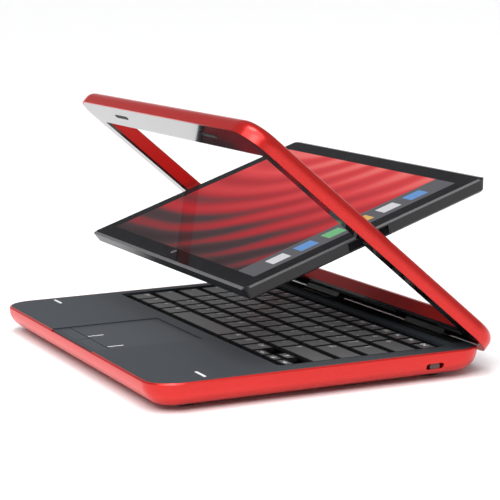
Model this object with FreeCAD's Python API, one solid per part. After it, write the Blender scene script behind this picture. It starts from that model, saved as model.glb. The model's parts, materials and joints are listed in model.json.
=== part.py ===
import FreeCAD, Part
import math
import os

V = FreeCAD.Vector

# All sizes are millimetres. X is left to right for the user, Y is front to back, Z is up, the table is Z = 0.

# Base shell
BASE_WIDTH = 285.0
BASE_DEPTH = 199.0
BASE_HEIGHT = 14.0
FOOT_HEIGHT = 3.0
PLAN_RADIUS = 18.0
BELLY_RADIUS = 12.0
RIM_BEVEL = 0.8
CASE_WALL = 2.2
DECK_THICKNESS = 2.0
RIM_WIDTH = 1.4
SEAT_CLEARANCE = 0.1

# Hinge at the back edge of the base
NOSE_RADIUS = 4.5
COVER_DEPTH = 7.5
COVER_DROP = 9.0
ARM_INNER_X = 47.0
ARM_LENGTH = 48.0
ARM_RADIUS = 4.2
ARM_FOOT_HALF = 2.5
ARM_FOOT_RISE = 9.0
ARM_SIDE_GAP = 0.5
ARM_SWEEP_GAP = 1.0
HINGE_PIN_RADIUS = 1.6
HINGE_PIN_BITE = 3.5
RUNNING_FIT = 0.05
PIN_FIT = 0.02

# Lid ring
LID_THICKNESS = 10.3
LID_EDGE_RADIUS = 6.5
LID_TAIL = 7.2
LID_SETBACK = 1.9
CLOSE_GAP = 0.5
TOP_BAR = 21.4
SIDE_BAR = 12.5
HINGE_TO_OPENING = 12.3
OPENING_CORNER = 1.6
BEZEL_THICKNESS = 1.6
BEZEL_INSET = 0.8
BEZEL_BACK_INSET = 4.4
BUMPER_SUNK = 0.4
LID_BUMPER_PROUD = 0.3
LID_BUMPER_WIDTH = 2.4

# Screen slab that turns inside the ring
SCREEN_THICKNESS = 8.0
SCREEN_GAP = 1.3
SCREEN_TAPER = 2.5
SCREEN_RADIUS = 4.0
SCREEN_CHAMFER_WIDTH = 1.9
SCREEN_CHAMFER_DROP = 0.7
SCREEN_WALL = 1.2
GLASS_THICKNESS = 1.0
GLASS_MARGIN = 2.1
GLASS_LEDGE = 2.1
LCD_SIDE_MARGIN = 13.7
LCD_END_MARGIN = 12.65
LCD_THICKNESS = 2.9
PIVOT_PIN_RADIUS = 2.0
PIVOT_PIN_BITE = 6.0
HUB_HEIGHT = 26.0
HUB_THICKNESS = 5.0
HUB_DEPTH = 9.4

# How far the lid and the screen stand open as built
LID_ANGLE = 42.3
FLIP_RATIO = 1.44
SCREEN_ANGLE = LID_ANGLE * FLIP_RATIO

# Keyboard
SIDE_MARGIN = 14.5
KEYBOARD_OFFSET = 2.0
KEYBOARD_BACK = 18.0
ROW_PITCH = 16.8 / 199.0 * BASE_DEPTH
ROW_GAP = 1.9
KEY_GAP = 0.7
TOP_ROW_DEPTH = 10.5
ROW_UNITS = 15.0
WELL_MARGIN = 2.5
WELL_CORNER = 2.4
WELL_FRONT_MARGIN = 4.5
WELL_BACK_MARGIN = 4.0
KEY_DROP = 0.8
KEY_HEIGHT = 2.2
KEY_TRAVEL = 1.8
KEY_TAPER = 0.7
POST_SIZE = 4.4
POST_LENGTH = 2.6
POST_CLEARANCE = 0.3
TRAY_WALL = 2.0
TRAY_CORNER = 4.9
TRAY_DEPTH = 5.0
TRAY_FLOOR = 1.2

# Touch pad and its buttons
PAD_LEFT = -40.0
PAD_RIGHT = 36.8
PAD_TO_KEYS = 8.4
PAD_FRONT = 13.0
PAD_RECESS = 0.5
PAD_CORNER = 1.2
PAD_THICKNESS = 0.8
BUTTON_FRONT = 4.4
BUTTON_GAP = 0.3
BUTTON_THICKNESS = 1.3
BUTTON_TRAVEL = 0.6
BUTTON_POST = 3.0
PAN_DEPTH = 4.0
PAN_FLOOR = 1.0
NOTCH_DEPTH = 0.9

# Feet, bumpers and screws
FOOT_RADIUS = 7.5
FOOT_INSET_X = 26.0
FOOT_INSET_Y = 26.0
FOOT_SUNK = 0.5
ROUND_SIDES = 16
DECK_BUMPER_LENGTH = 14.0
DECK_BUMPER_WIDTH = 1.6
DECK_BUMPER_PROUD = 0.3
DECK_BUMPER_INSET = 8.5
DECK_BUMPER_FROM_FRONT = 32.5
SCREW_RADIUS = 1.1
SCREW_HEAD_RADIUS = 2.4
SCREW_HEAD_HEIGHT = 1.2
SCREW_HEAD_SUNK = 0.4
SCREW_LENGTH = 5.2
BOSS_RADIUS = 3.0
SCREW_SIDES = 6
BOSS_SIDES = 8

# Ports and switch
PORT_SHELF = 2.1
PORT_INSET = 3.2
USB_WIDTH = 12.3
USB_HEIGHT = 4.9
USB_DEPTH = 12.0
USB_SHELL = 0.5
JACK_SIZE = 6.0
JACK_BORE = 1.75
JACK_DEPTH = 11.0
INLET_SIZE = 9.0
INLET_HEIGHT = 7.4
INLET_BORE = 3.0
INLET_DEPTH = 9.0
PORT_CLEARANCE = 0.2
SWITCH_FROM_BACK = 33.0
SWITCH_DROP = 7.8
SWITCH_KNOB_LENGTH = 6.0
SWITCH_KNOB_HEIGHT = 2.8
SWITCH_TRAVEL = 2.0
SWITCH_CLEARANCE = 0.35
SWITCH_PLATE_LENGTH = 15.0
SWITCH_PLATE_HEIGHT = 5.2
SWITCH_PLATE_THICKNESS = 1.6
SWITCH_INSET = 8.5
SWITCH_KNOB_INSET = 1.9

# Inner pieces
BOARD_LIFT = 1.3
BOARD_TO_FAN = 7.5
BOARD_POST_INSET = 6.0
PROCESSOR_INSET = 25.0
PROCESSOR_SIZE = 14.0
SPREADER_MARGIN = 2.0
BRIDGE_INSET = 10.0
CARD_WIDTH = 16.0
SCREEN_BOARD_WIDTH = 120.0
SCREEN_BOARD_DEPTH = 18.0
SCREEN_BOARD_INSET = 4.0
SCREEN_CHIP = 10.0
BOARD_THICKNESS = 1.2
BOARD_POST_RADIUS = 2.5
DRIVE_WIDTH = 78.5
DRIVE_HEIGHT = 7.0
BAY_SIDE = 30.0
BAY_GAP = 22.5
BATTERY_HEIGHT = 7.4
PALM_CLEARANCE = 3.5
MODULE_WIDTH = 67.6
MODULE_DEPTH = 30.0
MODULE_THICKNESS = 0.8
MODULE_BITE = 3.0
DOOR_WIDTH = 76.0
DOOR_DEPTH = 40.0
DOOR_THICKNESS = 1.2
DOOR_LEDGE = 3.0
FAN_SIZE = 40.0
FAN_HEIGHT = 3.8
FAN_SKIN = 0.5
FAN_CHAMBER = 17.5
FAN_HUB = 5.5
FAN_BLADE_REACH = 15.5
FAN_BLADE_THICKNESS = 0.8
FAN_BLADES = 11
FAN_SHAFT = 1.0
FAN_INLETS = 6
FAN_INLET_RADIUS = 3.4
FAN_INLET_CIRCLE = 10.0
FAN_BLADE_LEAN = 24.0
FIN_COUNT = 14
FIN_PITCH = 2.6
FIN_GAP = 1.5
SPEAKER_WIDTH = 16.0
SPEAKER_DEPTH = 34.0
SPEAKER_HEIGHT = 4.0
SPEAKER_SLOTS = 3
SPEAKER_SLOT_PITCH = 6.0
SPEAKER_SLOT_HALF = 1.2
VENT_COUNT = 8
VENT_WIDTH = 2.4
VENT_PITCH = 4.0

# Places that follow from the sizes above
DECK_Z = FOOT_HEIGHT + BASE_HEIGHT
FLOOR_Z = FOOT_HEIGHT + CASE_WALL
HALF_WIDTH = BASE_WIDTH / 2
LID_SINE = math.sin(math.radians(LID_ANGLE))
LID_COSINE = math.cos(math.radians(LID_ANGLE))
INNER_FACE = NOSE_RADIUS + CLOSE_GAP
EDGE_CENTRE_RISE = INNER_FACE + LID_THICKNESS - LID_EDGE_RADIUS
EDGE_CENTRE_REACH = (LID_TAIL - LID_EDGE_RADIUS) * LID_COSINE + EDGE_CENTRE_RISE * LID_SINE
LID_REACH = EDGE_CENTRE_REACH + LID_EDGE_RADIUS - NOSE_RADIUS
MID_Y = -LID_REACH / 2
FRONT_Y = MID_Y - BASE_DEPTH / 2
REAR_Y = MID_Y + BASE_DEPTH / 2
HINGE_Y = REAR_Y - NOSE_RADIUS
HINGE_Z = DECK_Z - NOSE_RADIUS
COVER_FRONT = HINGE_Y - COVER_DEPTH
COVER_HALF = HALF_WIDTH - PLAN_RADIUS
CAVITY_BEVEL = 0.71 * (BELLY_RADIUS - CASE_WALL)
CAVITY_CORNER = 0.685 * (PLAN_RADIUS - CASE_WALL)
FLOOR_HALF = HALF_WIDTH - BELLY_RADIUS
FLOOR_FRONT = FRONT_Y + BELLY_RADIUS

LID_FRONT = FRONT_Y + LID_SETBACK
LID_BACK = HINGE_Y + LID_TAIL
LID_UNDER = HINGE_Z + INNER_FACE
LID_TOP = LID_UNDER + LID_THICKNESS
OPENING_HALF = HALF_WIDTH - SIDE_BAR
OPENING_BACK = HINGE_Y - HINGE_TO_OPENING
OPENING_FRONT = LID_FRONT + TOP_BAR
PIVOT_Y = (OPENING_BACK + OPENING_FRONT) / 2
PIVOT_Z = LID_UNDER + LID_THICKNESS / 2
SCREEN_HALF_WIDTH = OPENING_HALF - SCREEN_GAP
SCREEN_HALF_HEIGHT = (OPENING_BACK - OPENING_FRONT) / 2 - SCREEN_GAP
LCD_WIDTH = 2 * (SCREEN_HALF_WIDTH - LCD_SIDE_MARGIN)
LCD_HEIGHT = 2 * (SCREEN_HALF_HEIGHT - LCD_END_MARGIN)
SCREEN_FRONT_Z = PIVOT_Z + SCREEN_THICKNESS / 2
SCREEN_BACK_Z = PIVOT_Z - SCREEN_THICKNESS / 2
HUB_FACE = SCREEN_HALF_WIDTH - SCREEN_TAPER + 0.2

KEY_UNIT = (BASE_WIDTH - 2 * SIDE_MARGIN) / ROW_UNITS
KEYS_LEFT = -ROW_UNITS * KEY_UNIT / 2 - KEYBOARD_OFFSET
KEYS_RIGHT = KEYS_LEFT + ROW_UNITS * KEY_UNIT
KEY_DEPTH = ROW_PITCH - ROW_GAP
KEYS_BACK = HINGE_Y - KEYBOARD_BACK
KEYS_FRONT = KEYS_BACK - TOP_ROW_DEPTH - 5 * ROW_PITCH
WELL_LEFT = KEYS_LEFT - WELL_MARGIN
WELL_RIGHT = KEYS_RIGHT + WELL_MARGIN
WELL_FRONT = KEYS_FRONT - WELL_FRONT_MARGIN
WELL_BACK = KEYS_BACK + WELL_BACK_MARGIN
KEY_TOP = DECK_Z - KEY_DROP
KEY_BOTTOM = KEY_TOP - KEY_HEIGHT
TRAY_TOP = DECK_Z - DECK_THICKNESS
TRAY_FLOOR_TOP = DECK_Z - TRAY_DEPTH
TRAY_BOTTOM = TRAY_FLOOR_TOP - TRAY_FLOOR

PAD_BACK_Y = WELL_FRONT - PAD_TO_KEYS
PAD_FRONT_Y = FRONT_Y + PAD_FRONT
PAD_MIDDLE = (PAD_LEFT + PAD_RIGHT) / 2
PAN_BOTTOM = DECK_Z - PAN_DEPTH
PALM_FRONT = FLOOR_FRONT + PALM_CLEARANCE
PALM_BACK = WELL_FRONT - TRAY_WALL - PALM_CLEARANCE
PORT_SHELF_Z = FLOOR_Z + PORT_SHELF
PORT_Z = PORT_SHELF_Z + JACK_SIZE / 2
PORT_MOUTH = -HALF_WIDTH + PORT_INSET
USB_OUTER = USB_WIDTH + 2 * USB_SHELL
PORT_SPAN = WELL_FRONT - TRAY_WALL - FRONT_Y - PLAN_RADIUS
PORT_GAP = (PORT_SPAN - INLET_SIZE - JACK_SIZE - 2 * USB_OUTER) / 5
INLET_Y = FRONT_Y + PLAN_RADIUS + PORT_GAP + INLET_SIZE / 2
JACK_Y = INLET_Y + INLET_SIZE / 2 + PORT_GAP + JACK_SIZE / 2
USB_FRONT_Y = JACK_Y + JACK_SIZE / 2 + PORT_GAP + USB_OUTER / 2
USB_BACK_Y = USB_FRONT_Y + USB_OUTER + PORT_GAP
DRIVE_LEFT = -FLOOR_HALF + BAY_SIDE
DRIVE_RIGHT = DRIVE_LEFT + DRIVE_WIDTH
BATTERY_LEFT = DRIVE_RIGHT + BAY_GAP
BATTERY_RIGHT = FLOOR_HALF - BAY_SIDE
SWITCH_Y = REAR_Y - SWITCH_FROM_BACK
SWITCH_Z = DECK_Z - SWITCH_DROP
BOARD_RIGHT = FLOOR_HALF - 13.0
BOARD_BOTTOM = FLOOR_Z + BOARD_LIFT
BOARD_TOP = BOARD_BOTTOM + BOARD_THICKNESS
ROW_GAP_LINES = [KEYS_FRONT + ROW_PITCH * row - ROW_GAP / 2 for row in range(1, 6)]


def box(x0, x1, y0, y1, z0, z1):
    """Box between two opposite corners."""
    return Part.makeBox(x1 - x0, y1 - y0, z1 - z0, V(x0, y0, z0))


def rounded_outline(x0, x1, y0, y1, radius, z):
    """Closed rectangle with round corners, lying level at height z."""
    bend = radius * (1 - math.sqrt(0.5))
    lines = [
        Part.makeLine(V(x0 + radius, y0, z), V(x1 - radius, y0, z)),
        Part.Arc(V(x1 - radius, y0, z), V(x1 - bend, y0 + bend, z), V(x1, y0 + radius, z)).toShape(),
        Part.makeLine(V(x1, y0 + radius, z), V(x1, y1 - radius, z)),
        Part.Arc(V(x1, y1 - radius, z), V(x1 - bend, y1 - bend, z), V(x1 - radius, y1, z)).toShape(),
        Part.makeLine(V(x1 - radius, y1, z), V(x0 + radius, y1, z)),
        Part.Arc(V(x0 + radius, y1, z), V(x0 + bend, y1 - bend, z), V(x0, y1 - radius, z)).toShape(),
        Part.makeLine(V(x0, y1 - radius, z), V(x0, y0 + radius, z)),
        Part.Arc(V(x0, y0 + radius, z), V(x0 + bend, y0 + bend, z), V(x0 + radius, y0, z)).toShape(),
    ]
    return Part.Wire(lines)


def slab(x0, x1, y0, y1, z0, z1, radius):
    """Flat block with round corners in plan."""
    return Part.Face(rounded_outline(x0, x1, y0, y1, radius, z0)).extrude(V(0, 0, z1 - z0))


def tapered(sections):
    """Straight sided solid through a stack of level outlines."""
    return Part.makeLoft(sections, True, True)


def cut_corners(x0, x1, y0, y1, corner, z):
    """Points of a level rectangle whose corners are cut off."""
    return [V(x0 + corner, y0, z), V(x1 - corner, y0, z), V(x1, y0 + corner, z), V(x1, y1 - corner, z),
            V(x1 - corner, y1, z), V(x0 + corner, y1, z), V(x0, y1 - corner, z), V(x0, y0 + corner, z)]


def corner_points(x0, x1, y0, y1, z):
    """Points of a plain level rectangle."""
    return [V(x0, y0, z), V(x1, y0, z), V(x1, y1, z), V(x0, y1, z)]


def ring_points(x, y, z, radius, sides):
    """Points of a level regular polygon."""
    turns = [2 * math.pi * (place + 0.5) / sides for place in range(sides)]
    return [V(x + radius * math.cos(turn), y + radius * math.sin(turn), z) for turn in turns]


def flat_face(points):
    """Flat face inside a closed loop of points."""
    return Part.Face(Part.makePolygon(points + [points[0]]))


def cut_slab(x0, x1, y0, y1, z0, z1, corner):
    """Flat block with cut off corners in plan."""
    return flat_face(cut_corners(x0, x1, y0, y1, corner, z0)).extrude(V(0, 0, z1 - z0))


def prism(x, y, z0, z1, radius, sides):
    """Upright bar with a regular many sided outline."""
    return flat_face(ring_points(x, y, z0, radius, sides)).extrude(V(0, 0, z1 - z0))


def flat_sided(lower, upper):
    """Solid with flat sides between two level polygons with equally many corners."""
    faces = [flat_face(lower), flat_face(upper)]
    for place, point in enumerate(lower):
        before = place - 1
        faces.append(flat_face([lower[before], point, upper[place], upper[before]]))
    shell = Part.makeShell(faces)
    shell.sewShape()
    solid = Part.makeSolid(shell)
    if solid.Volume < 0:
        solid.reverse()
    return solid


def rod_x(x0, x1, y, z, radius):
    """Cylinder along X."""
    return Part.makeCylinder(radius, x1 - x0, V(x0, y, z), V(1, 0, 0))


def rod_z(x, y, z0, z1, radius):
    """Cylinder along Z."""
    return Part.makeCylinder(radius, z1 - z0, V(x, y, z0), V(0, 0, 1))


def level_edges(shape, z):
    """Edges that lie wholly at height z."""
    found = []
    for edge in shape.Edges:
        bounds = edge.BoundBox
        if abs(bounds.ZMin - z) < 1e-4 and abs(bounds.ZMax - z) < 1e-4:
            found.append(edge)
    return found


def both_sides(shape):
    """A shape and its mirror image across the middle plane."""
    return [shape, shape.mirror(V(0, 0, 0), V(1, 0, 0))]


def joined(shapes):
    """One solid from touching or overlapping shapes."""
    whole = shapes[0]
    if len(shapes) > 1:
        whole = whole.fuse(shapes[1:])
    return whole.removeSplitter()


def save(name, shapes):
    """Write one node, which may hold several separate solids."""
    solids = []
    for shape in shapes:
        solids.extend(shape.Solids)
    whole = solids[0] if len(solids) == 1 else Part.makeCompound(solids)
    whole.exportStep("parts/" + name + ".step")


def open_lid(shape):
    """Turn a piece modelled on the closed lid to where the lid stands."""
    turned = shape.copy()
    turned.rotate(V(0, HINGE_Y, HINGE_Z), V(-1, 0, 0), LID_ANGLE)
    return turned


def open_screen(shape):
    """Turn a piece modelled on the flush screen about the pivots, then with the lid."""
    turned = shape.copy()
    turned.rotate(V(0, PIVOT_Y, PIVOT_Z), V(1, 0, 0), SCREEN_ANGLE)
    return open_lid(turned)


def save_lid(name, shapes):
    """Write a node that rides on the lid."""
    save(name, [open_lid(shape) for shape in shapes])


def save_screen(name, shapes):
    """Write a node that rides on the screen."""
    save(name, [open_screen(shape) for shape in shapes])


def nose_trim():
    """Sharp corner that the round back edge of the base leaves out."""
    corner = box(-BASE_WIDTH, BASE_WIDTH, HINGE_Y, REAR_Y + 5, HINGE_Z, DECK_Z + 5)
    return corner.cut(rod_x(-BASE_WIDTH, BASE_WIDTH, HINGE_Y, HINGE_Z, NOSE_RADIUS))


def base_envelope(rim_bevel):
    """Outside of the whole base: round corners, curved belly, round back edge."""
    body = slab(-HALF_WIDTH, HALF_WIDTH, FRONT_Y, REAR_Y, FOOT_HEIGHT, DECK_Z, PLAN_RADIUS)
    body = body.makeFillet(BELLY_RADIUS, level_edges(body, FOOT_HEIGHT))
    if rim_bevel > 0:
        body = body.makeChamfer(rim_bevel, level_edges(body, DECK_Z))
    return body.cut(nose_trim())


def arm_pockets():
    """Space swept by the two hinge arms between closed and fully open."""
    x0 = ARM_INNER_X - ARM_SIDE_GAP
    x1 = ARM_INNER_X + ARM_LENGTH + ARM_SIDE_GAP
    reach = ARM_RADIUS + ARM_SWEEP_GAP
    pocket = rod_x(x0, x1, HINGE_Y, HINGE_Z, reach)
    above = box(x0, x1, HINGE_Y - reach, REAR_Y + 5, HINGE_Z, DECK_Z + 5)
    behind = box(x0, x1, HINGE_Y + 0.8, REAR_Y + 5, HINGE_Z - 8, HINGE_Z)
    return both_sides(pocket.fuse([above, behind]))


def hinge_pin_rods(radius, extra):
    """The two hinge pins, or the holes they sit in."""
    x0 = ARM_INNER_X - ARM_SIDE_GAP - HINGE_PIN_BITE - extra
    x1 = ARM_INNER_X + ARM_LENGTH + ARM_SIDE_GAP + HINGE_PIN_BITE + extra
    return both_sides(rod_x(x0, x1, HINGE_Y, HINGE_Z, radius))


def deck_outline(inset, z0, z1):
    """Block with the outline of the deck plate, drawn in by an inset."""
    edge = RIM_WIDTH + inset
    return slab(-HALF_WIDTH + edge, HALF_WIDTH - edge, FRONT_Y + edge, COVER_FRONT - inset, z0, z1,
                PLAN_RADIUS - edge)


def screw_places():
    """Plan position of each case screw and the height its boss reaches."""
    behind_pad = [(-FLOOR_HALF + 5.5, ROW_GAP_LINES[1]), (FLOOR_HALF - 5.5, ROW_GAP_LINES[1]),
                  (FAN_SIZE / 2 - FLOOR_HALF + 48.5, ROW_GAP_LINES[4]), (FLOOR_HALF - 26.0, ROW_GAP_LINES[4]),
                  (-10.0, ROW_GAP_LINES[2])]
    in_front = [(-FLOOR_HALF + 7.0, FLOOR_FRONT + 4.0), (FLOOR_HALF - 7.0, FLOOR_FRONT + 4.0)]
    under_pan = [(DRIVE_RIGHT + BAY_GAP / 2, FLOOR_FRONT + 17.5)]
    places = [(x, y, TRAY_BOTTOM) for x, y in behind_pad]
    places += [(x, y, DECK_Z - DECK_THICKNESS) for x, y in in_front]
    places += [(x, y, PAN_BOTTOM) for x, y in under_pan]
    return places


def screw_shape(x, y, grow, low_z, end_z):
    """Countersunk screw pointing up, or the hole that takes it."""
    head_z = FOOT_HEIGHT + SCREW_HEAD_SUNK
    neck_z = head_z + SCREW_HEAD_HEIGHT
    wide = SCREW_HEAD_RADIUS + grow
    thin = SCREW_RADIUS + grow
    head = flat_sided(ring_points(x, y, head_z, wide, SCREW_SIDES), ring_points(x, y, neck_z, thin,
                                                                                SCREW_SIDES))
    pieces = [head, prism(x, y, neck_z, end_z, thin, SCREW_SIDES)]
    if low_z < head_z:
        pieces.append(prism(x, y, low_z, head_z, wide, SCREW_SIDES))
    return joined(pieces)


def screw(x, y):
    """One case screw."""
    head_z = FOOT_HEIGHT + SCREW_HEAD_SUNK
    return screw_shape(x, y, 0, head_z, head_z + SCREW_LENGTH)


def screw_hole(x, y):
    """Hole and countersink that take one case screw."""
    return screw_shape(x, y, PIN_FIT, FOOT_HEIGHT - 1, FOOT_HEIGHT + SCREW_HEAD_SUNK + SCREW_LENGTH + 0.5)


def foot_places():
    """Plan position of the four rubber feet."""
    x = HALF_WIDTH - FOOT_INSET_X
    y = BASE_DEPTH / 2 - FOOT_INSET_Y
    return [(sx * x, MID_Y + sy * y) for sx in (-1, 1) for sy in (-1, 1)]


def rubber_foot(x, y):
    """Round foot with a bevelled lower edge."""
    disc = prism(x, y, 0, FOOT_HEIGHT + FOOT_SUNK, FOOT_RADIUS, ROUND_SIDES)
    return disc.makeChamfer(0.7, level_edges(disc, 0))


# Memory door and the opening above it
DOOR_LEFT = 10.0
DOOR_RIGHT = DOOR_LEFT + DOOR_WIDTH
DOOR_BACK = ROW_GAP_LINES[2] - 2.0
DOOR_FRONT = DOOR_BACK - DOOR_DEPTH
MODULE_X = (DOOR_LEFT + DOOR_RIGHT) / 2
MODULE_Y = (DOOR_FRONT + DOOR_BACK) / 2

# Fan, beside the vents in the left wall
FAN_LEFT = -FLOOR_HALF + 11.0
FAN_RIGHT = FAN_LEFT + FAN_SIZE
FAN_FRONT = ROW_GAP_LINES[2] - 4.0
FAN_BACK = FAN_FRONT + FAN_SIZE
FAN_X = (FAN_LEFT + FAN_RIGHT) / 2
FAN_Y = (FAN_FRONT + FAN_BACK) / 2
FAN_TOP = FLOOR_Z + FAN_HEIGHT

# Main board beside the fan
BOARD_LEFT = FAN_RIGHT + BOARD_TO_FAN
PROCESSOR_LEFT = BOARD_LEFT + PROCESSOR_INSET
PROCESSOR_FRONT = ROW_GAP_LINES[1] + 2.0


def memory_door(inset, z1):
    """Flat cover in the underside, or the recess it lies in."""
    return cut_slab(DOOR_LEFT + inset, DOOR_RIGHT - inset, DOOR_FRONT + inset, DOOR_BACK - inset,
                    FOOT_HEIGHT, z1, 3)


def usb_places():
    """Middle of each data socket along Y."""
    return [USB_BACK_Y, USB_FRONT_Y]


def usb_block(y, grow):
    """Outer block of one data socket, grown by a clearance."""
    half = USB_WIDTH / 2 + USB_SHELL + grow
    rise = USB_HEIGHT / 2 + USB_SHELL + grow
    return box(PORT_MOUTH, PORT_MOUTH + USB_DEPTH + USB_SHELL, y - half, y + half, PORT_Z - rise,
               PORT_Z + rise)


def port_blocks(grow):
    """Outer blocks of all the left side ports, grown by a clearance."""
    blocks = [usb_block(y, grow) for y in usb_places()]
    half = JACK_SIZE / 2 + grow
    y = JACK_Y
    blocks.append(box(PORT_MOUTH, PORT_MOUTH + JACK_DEPTH + 1, y - half, y + half, PORT_Z - half,
                      PORT_Z + half))
    half = INLET_SIZE / 2 + grow
    rise = INLET_HEIGHT / 2 + grow
    y = INLET_Y
    middle = PORT_SHELF_Z + INLET_HEIGHT / 2
    blocks.append(box(PORT_MOUTH, PORT_MOUTH + INLET_DEPTH + 1, y - half, y + half, middle - rise,
                      middle + rise))
    return blocks


def build_case():
    """Red lower tub with its bosses, port shelf, vents and slots."""
    outside = base_envelope(RIM_BEVEL)
    inside = cut_slab(-HALF_WIDTH + CASE_WALL, HALF_WIDTH - CASE_WALL, FRONT_Y + CASE_WALL,
                      COVER_FRONT - CASE_WALL,
                      FLOOR_Z, DECK_Z + 1, CAVITY_CORNER)
    inside = inside.makeChamfer(CAVITY_BEVEL, level_edges(inside, FLOOR_Z))
    case = outside.cut(inside)
    case = case.cut(deck_outline(0, DECK_Z - DECK_THICKNESS, DECK_Z + 5))

    # Ribs and bosses stand on the floor, inside the outer shape
    added = [prism(x, y, FOOT_HEIGHT + 1, top, BOSS_RADIUS, BOSS_SIDES) for x, y, top in screw_places()]
    added += [prism(x, y, FOOT_HEIGHT + 1, BOARD_BOTTOM, BOARD_POST_RADIUS, BOSS_SIDES) for x,
              y in board_posts()]
    shelf_end = PORT_MOUTH + USB_DEPTH + 2
    shelf_front = INLET_Y - INLET_SIZE / 2 - PORT_GAP / 2
    shelf_back = USB_BACK_Y + USB_OUTER / 2 + PORT_GAP / 2
    shelf = box(-HALF_WIDTH, shelf_end, shelf_front, shelf_back, FOOT_HEIGHT, PORT_SHELF_Z)
    half = SWITCH_PLATE_LENGTH / 2 + SWITCH_TRAVEL
    switch_boss = box(HALF_WIDTH - SWITCH_INSET, HALF_WIDTH, SWITCH_Y - half, SWITCH_Y + half,
                      FOOT_HEIGHT, SWITCH_Z + SWITCH_PLATE_HEIGHT / 2 + 1)
    added.append(shelf.common(outside))
    added.append(switch_boss.common(outside))
    case = joined([case] + added)

    cuts = [box(-COVER_HALF, COVER_HALF, COVER_FRONT, REAR_Y + 5, DECK_Z - COVER_DROP, DECK_Z + 5)]
    cuts += arm_pockets()
    cuts += [screw_hole(x, y) for x, y, top in screw_places()]
    cuts += [prism(x, y, 0, FOOT_HEIGHT + FOOT_SUNK, FOOT_RADIUS, ROUND_SIDES) for x, y in foot_places()]
    cuts.append(memory_door(0, FOOT_HEIGHT + DOOR_THICKNESS))
    cuts.append(memory_door(DOOR_LEDGE, FLOOR_Z + 0.5))
    for block in port_blocks(PORT_CLEARANCE):
        bounds = block.BoundBox
        cuts.append(box(-HALF_WIDTH - 5, bounds.XMax, bounds.YMin, bounds.YMax,
                        max(bounds.ZMin, PORT_SHELF_Z), bounds.ZMax))

    half = SWITCH_KNOB_LENGTH / 2 + SWITCH_TRAVEL + SWITCH_CLEARANCE
    rise = SWITCH_KNOB_HEIGHT / 2 + SWITCH_CLEARANCE
    slot = cut_slab(SWITCH_Y - half, SWITCH_Y + half, -rise, rise, 0, SWITCH_INSET + 10, rise / 2)
    slot.rotate(V(0, 0, 0), V(1, 1, 1), 120)
    slot.translate(V(HALF_WIDTH - SWITCH_INSET - 2, 0, SWITCH_Z))
    cuts.append(slot)
    half = SWITCH_PLATE_LENGTH / 2 + SWITCH_TRAVEL + SWITCH_CLEARANCE
    rise = SWITCH_PLATE_HEIGHT / 2 + SWITCH_CLEARANCE
    cuts.append(box(HALF_WIDTH - SWITCH_INSET - 3, HALF_WIDTH - SWITCH_INSET, SWITCH_Y - half,
                    SWITCH_Y + half,
                    SWITCH_Z - rise, SWITCH_Z + rise))

    for place in range(VENT_COUNT):
        y = FAN_Y + (place - (VENT_COUNT - 1) / 2) * VENT_PITCH
        low = FLOOR_Z + 1.3
        cuts.append(box(-HALF_WIDTH - 5, -FLOOR_HALF + 1.0, y - VENT_WIDTH / 2, y + VENT_WIDTH / 2, low,
                        low + 4))
        half = math.sqrt(FAN_CHAMBER ** 2 - (y - FAN_Y) ** 2) - 3
        cuts.append(box(FAN_X - half, FAN_X + half, y - VENT_WIDTH / 2, y + VENT_WIDTH / 2, 0, FLOOR_Z + 0.2))
    for x0, x1, y0, y1 in speaker_places():
        for place in range(SPEAKER_SLOTS):
            y = (y0 + y1) / 2 + (place - (SPEAKER_SLOTS - 1) / 2) * SPEAKER_SLOT_PITCH
            cuts.append(box(x0 + 2.5, x1 - 2.5, y - SPEAKER_SLOT_HALF, y + SPEAKER_SLOT_HALF, 0,
                            FLOOR_Z + 0.2))
    cuts.append(box(PAD_LEFT + 3, PAD_RIGHT + 2, FRONT_Y - 5, FRONT_Y + RIM_WIDTH + 1,
                    DECK_Z - NOTCH_DEPTH, DECK_Z + 5))
    return case.cut(cuts).removeSplitter()


def button_spans():
    """Left and right edge of each pad button."""
    return {
        "left_pad_button": (PAD_LEFT + BUTTON_GAP, PAD_MIDDLE - BUTTON_GAP),
        "right_pad_button": (PAD_MIDDLE + BUTTON_GAP, PAD_RIGHT - BUTTON_GAP),
    }


def button_posts(span, half, z0, z1):
    """Two square guide posts under one pad button, or their holes."""
    y = FRONT_Y + (BUTTON_FRONT + PAD_FRONT) / 2
    quarter = (span[1] - span[0]) / 4
    return [box(x - half, x + half, y - half, y + half, z0, z1) for x in (span[0] + quarter,
                                                                          span[1] - quarter)]


def pad_button(span):
    """Flat pad button on two guide posts."""
    top = DECK_Z - PAD_RECESS - 0.1
    bottom = top - BUTTON_THICKNESS
    cap = cut_slab(span[0], span[1], FRONT_Y + BUTTON_FRONT + BUTTON_GAP, PAD_FRONT_Y - BUTTON_GAP, bottom,
                   top, 0.6)
    return joined([cap] + button_posts(span, BUTTON_POST / 2, PAN_BOTTOM - BUTTON_TRAVEL, bottom))


def bumper_slab(x0, x1, y, width, z0, z1):
    """Low strip with cut corners."""
    return cut_slab(x0, x1, y - width / 2, y + width / 2, z0, z1, width / 4)


def deck_bumper(grow, z1):
    """Right hand deck bumper, or its pocket."""
    x1 = HALF_WIDTH - DECK_BUMPER_INSET
    y = FRONT_Y + DECK_BUMPER_FROM_FRONT
    return bumper_slab(x1 - DECK_BUMPER_LENGTH, x1, y, DECK_BUMPER_WIDTH + grow, DECK_Z - BUMPER_SUNK, z1)


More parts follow.
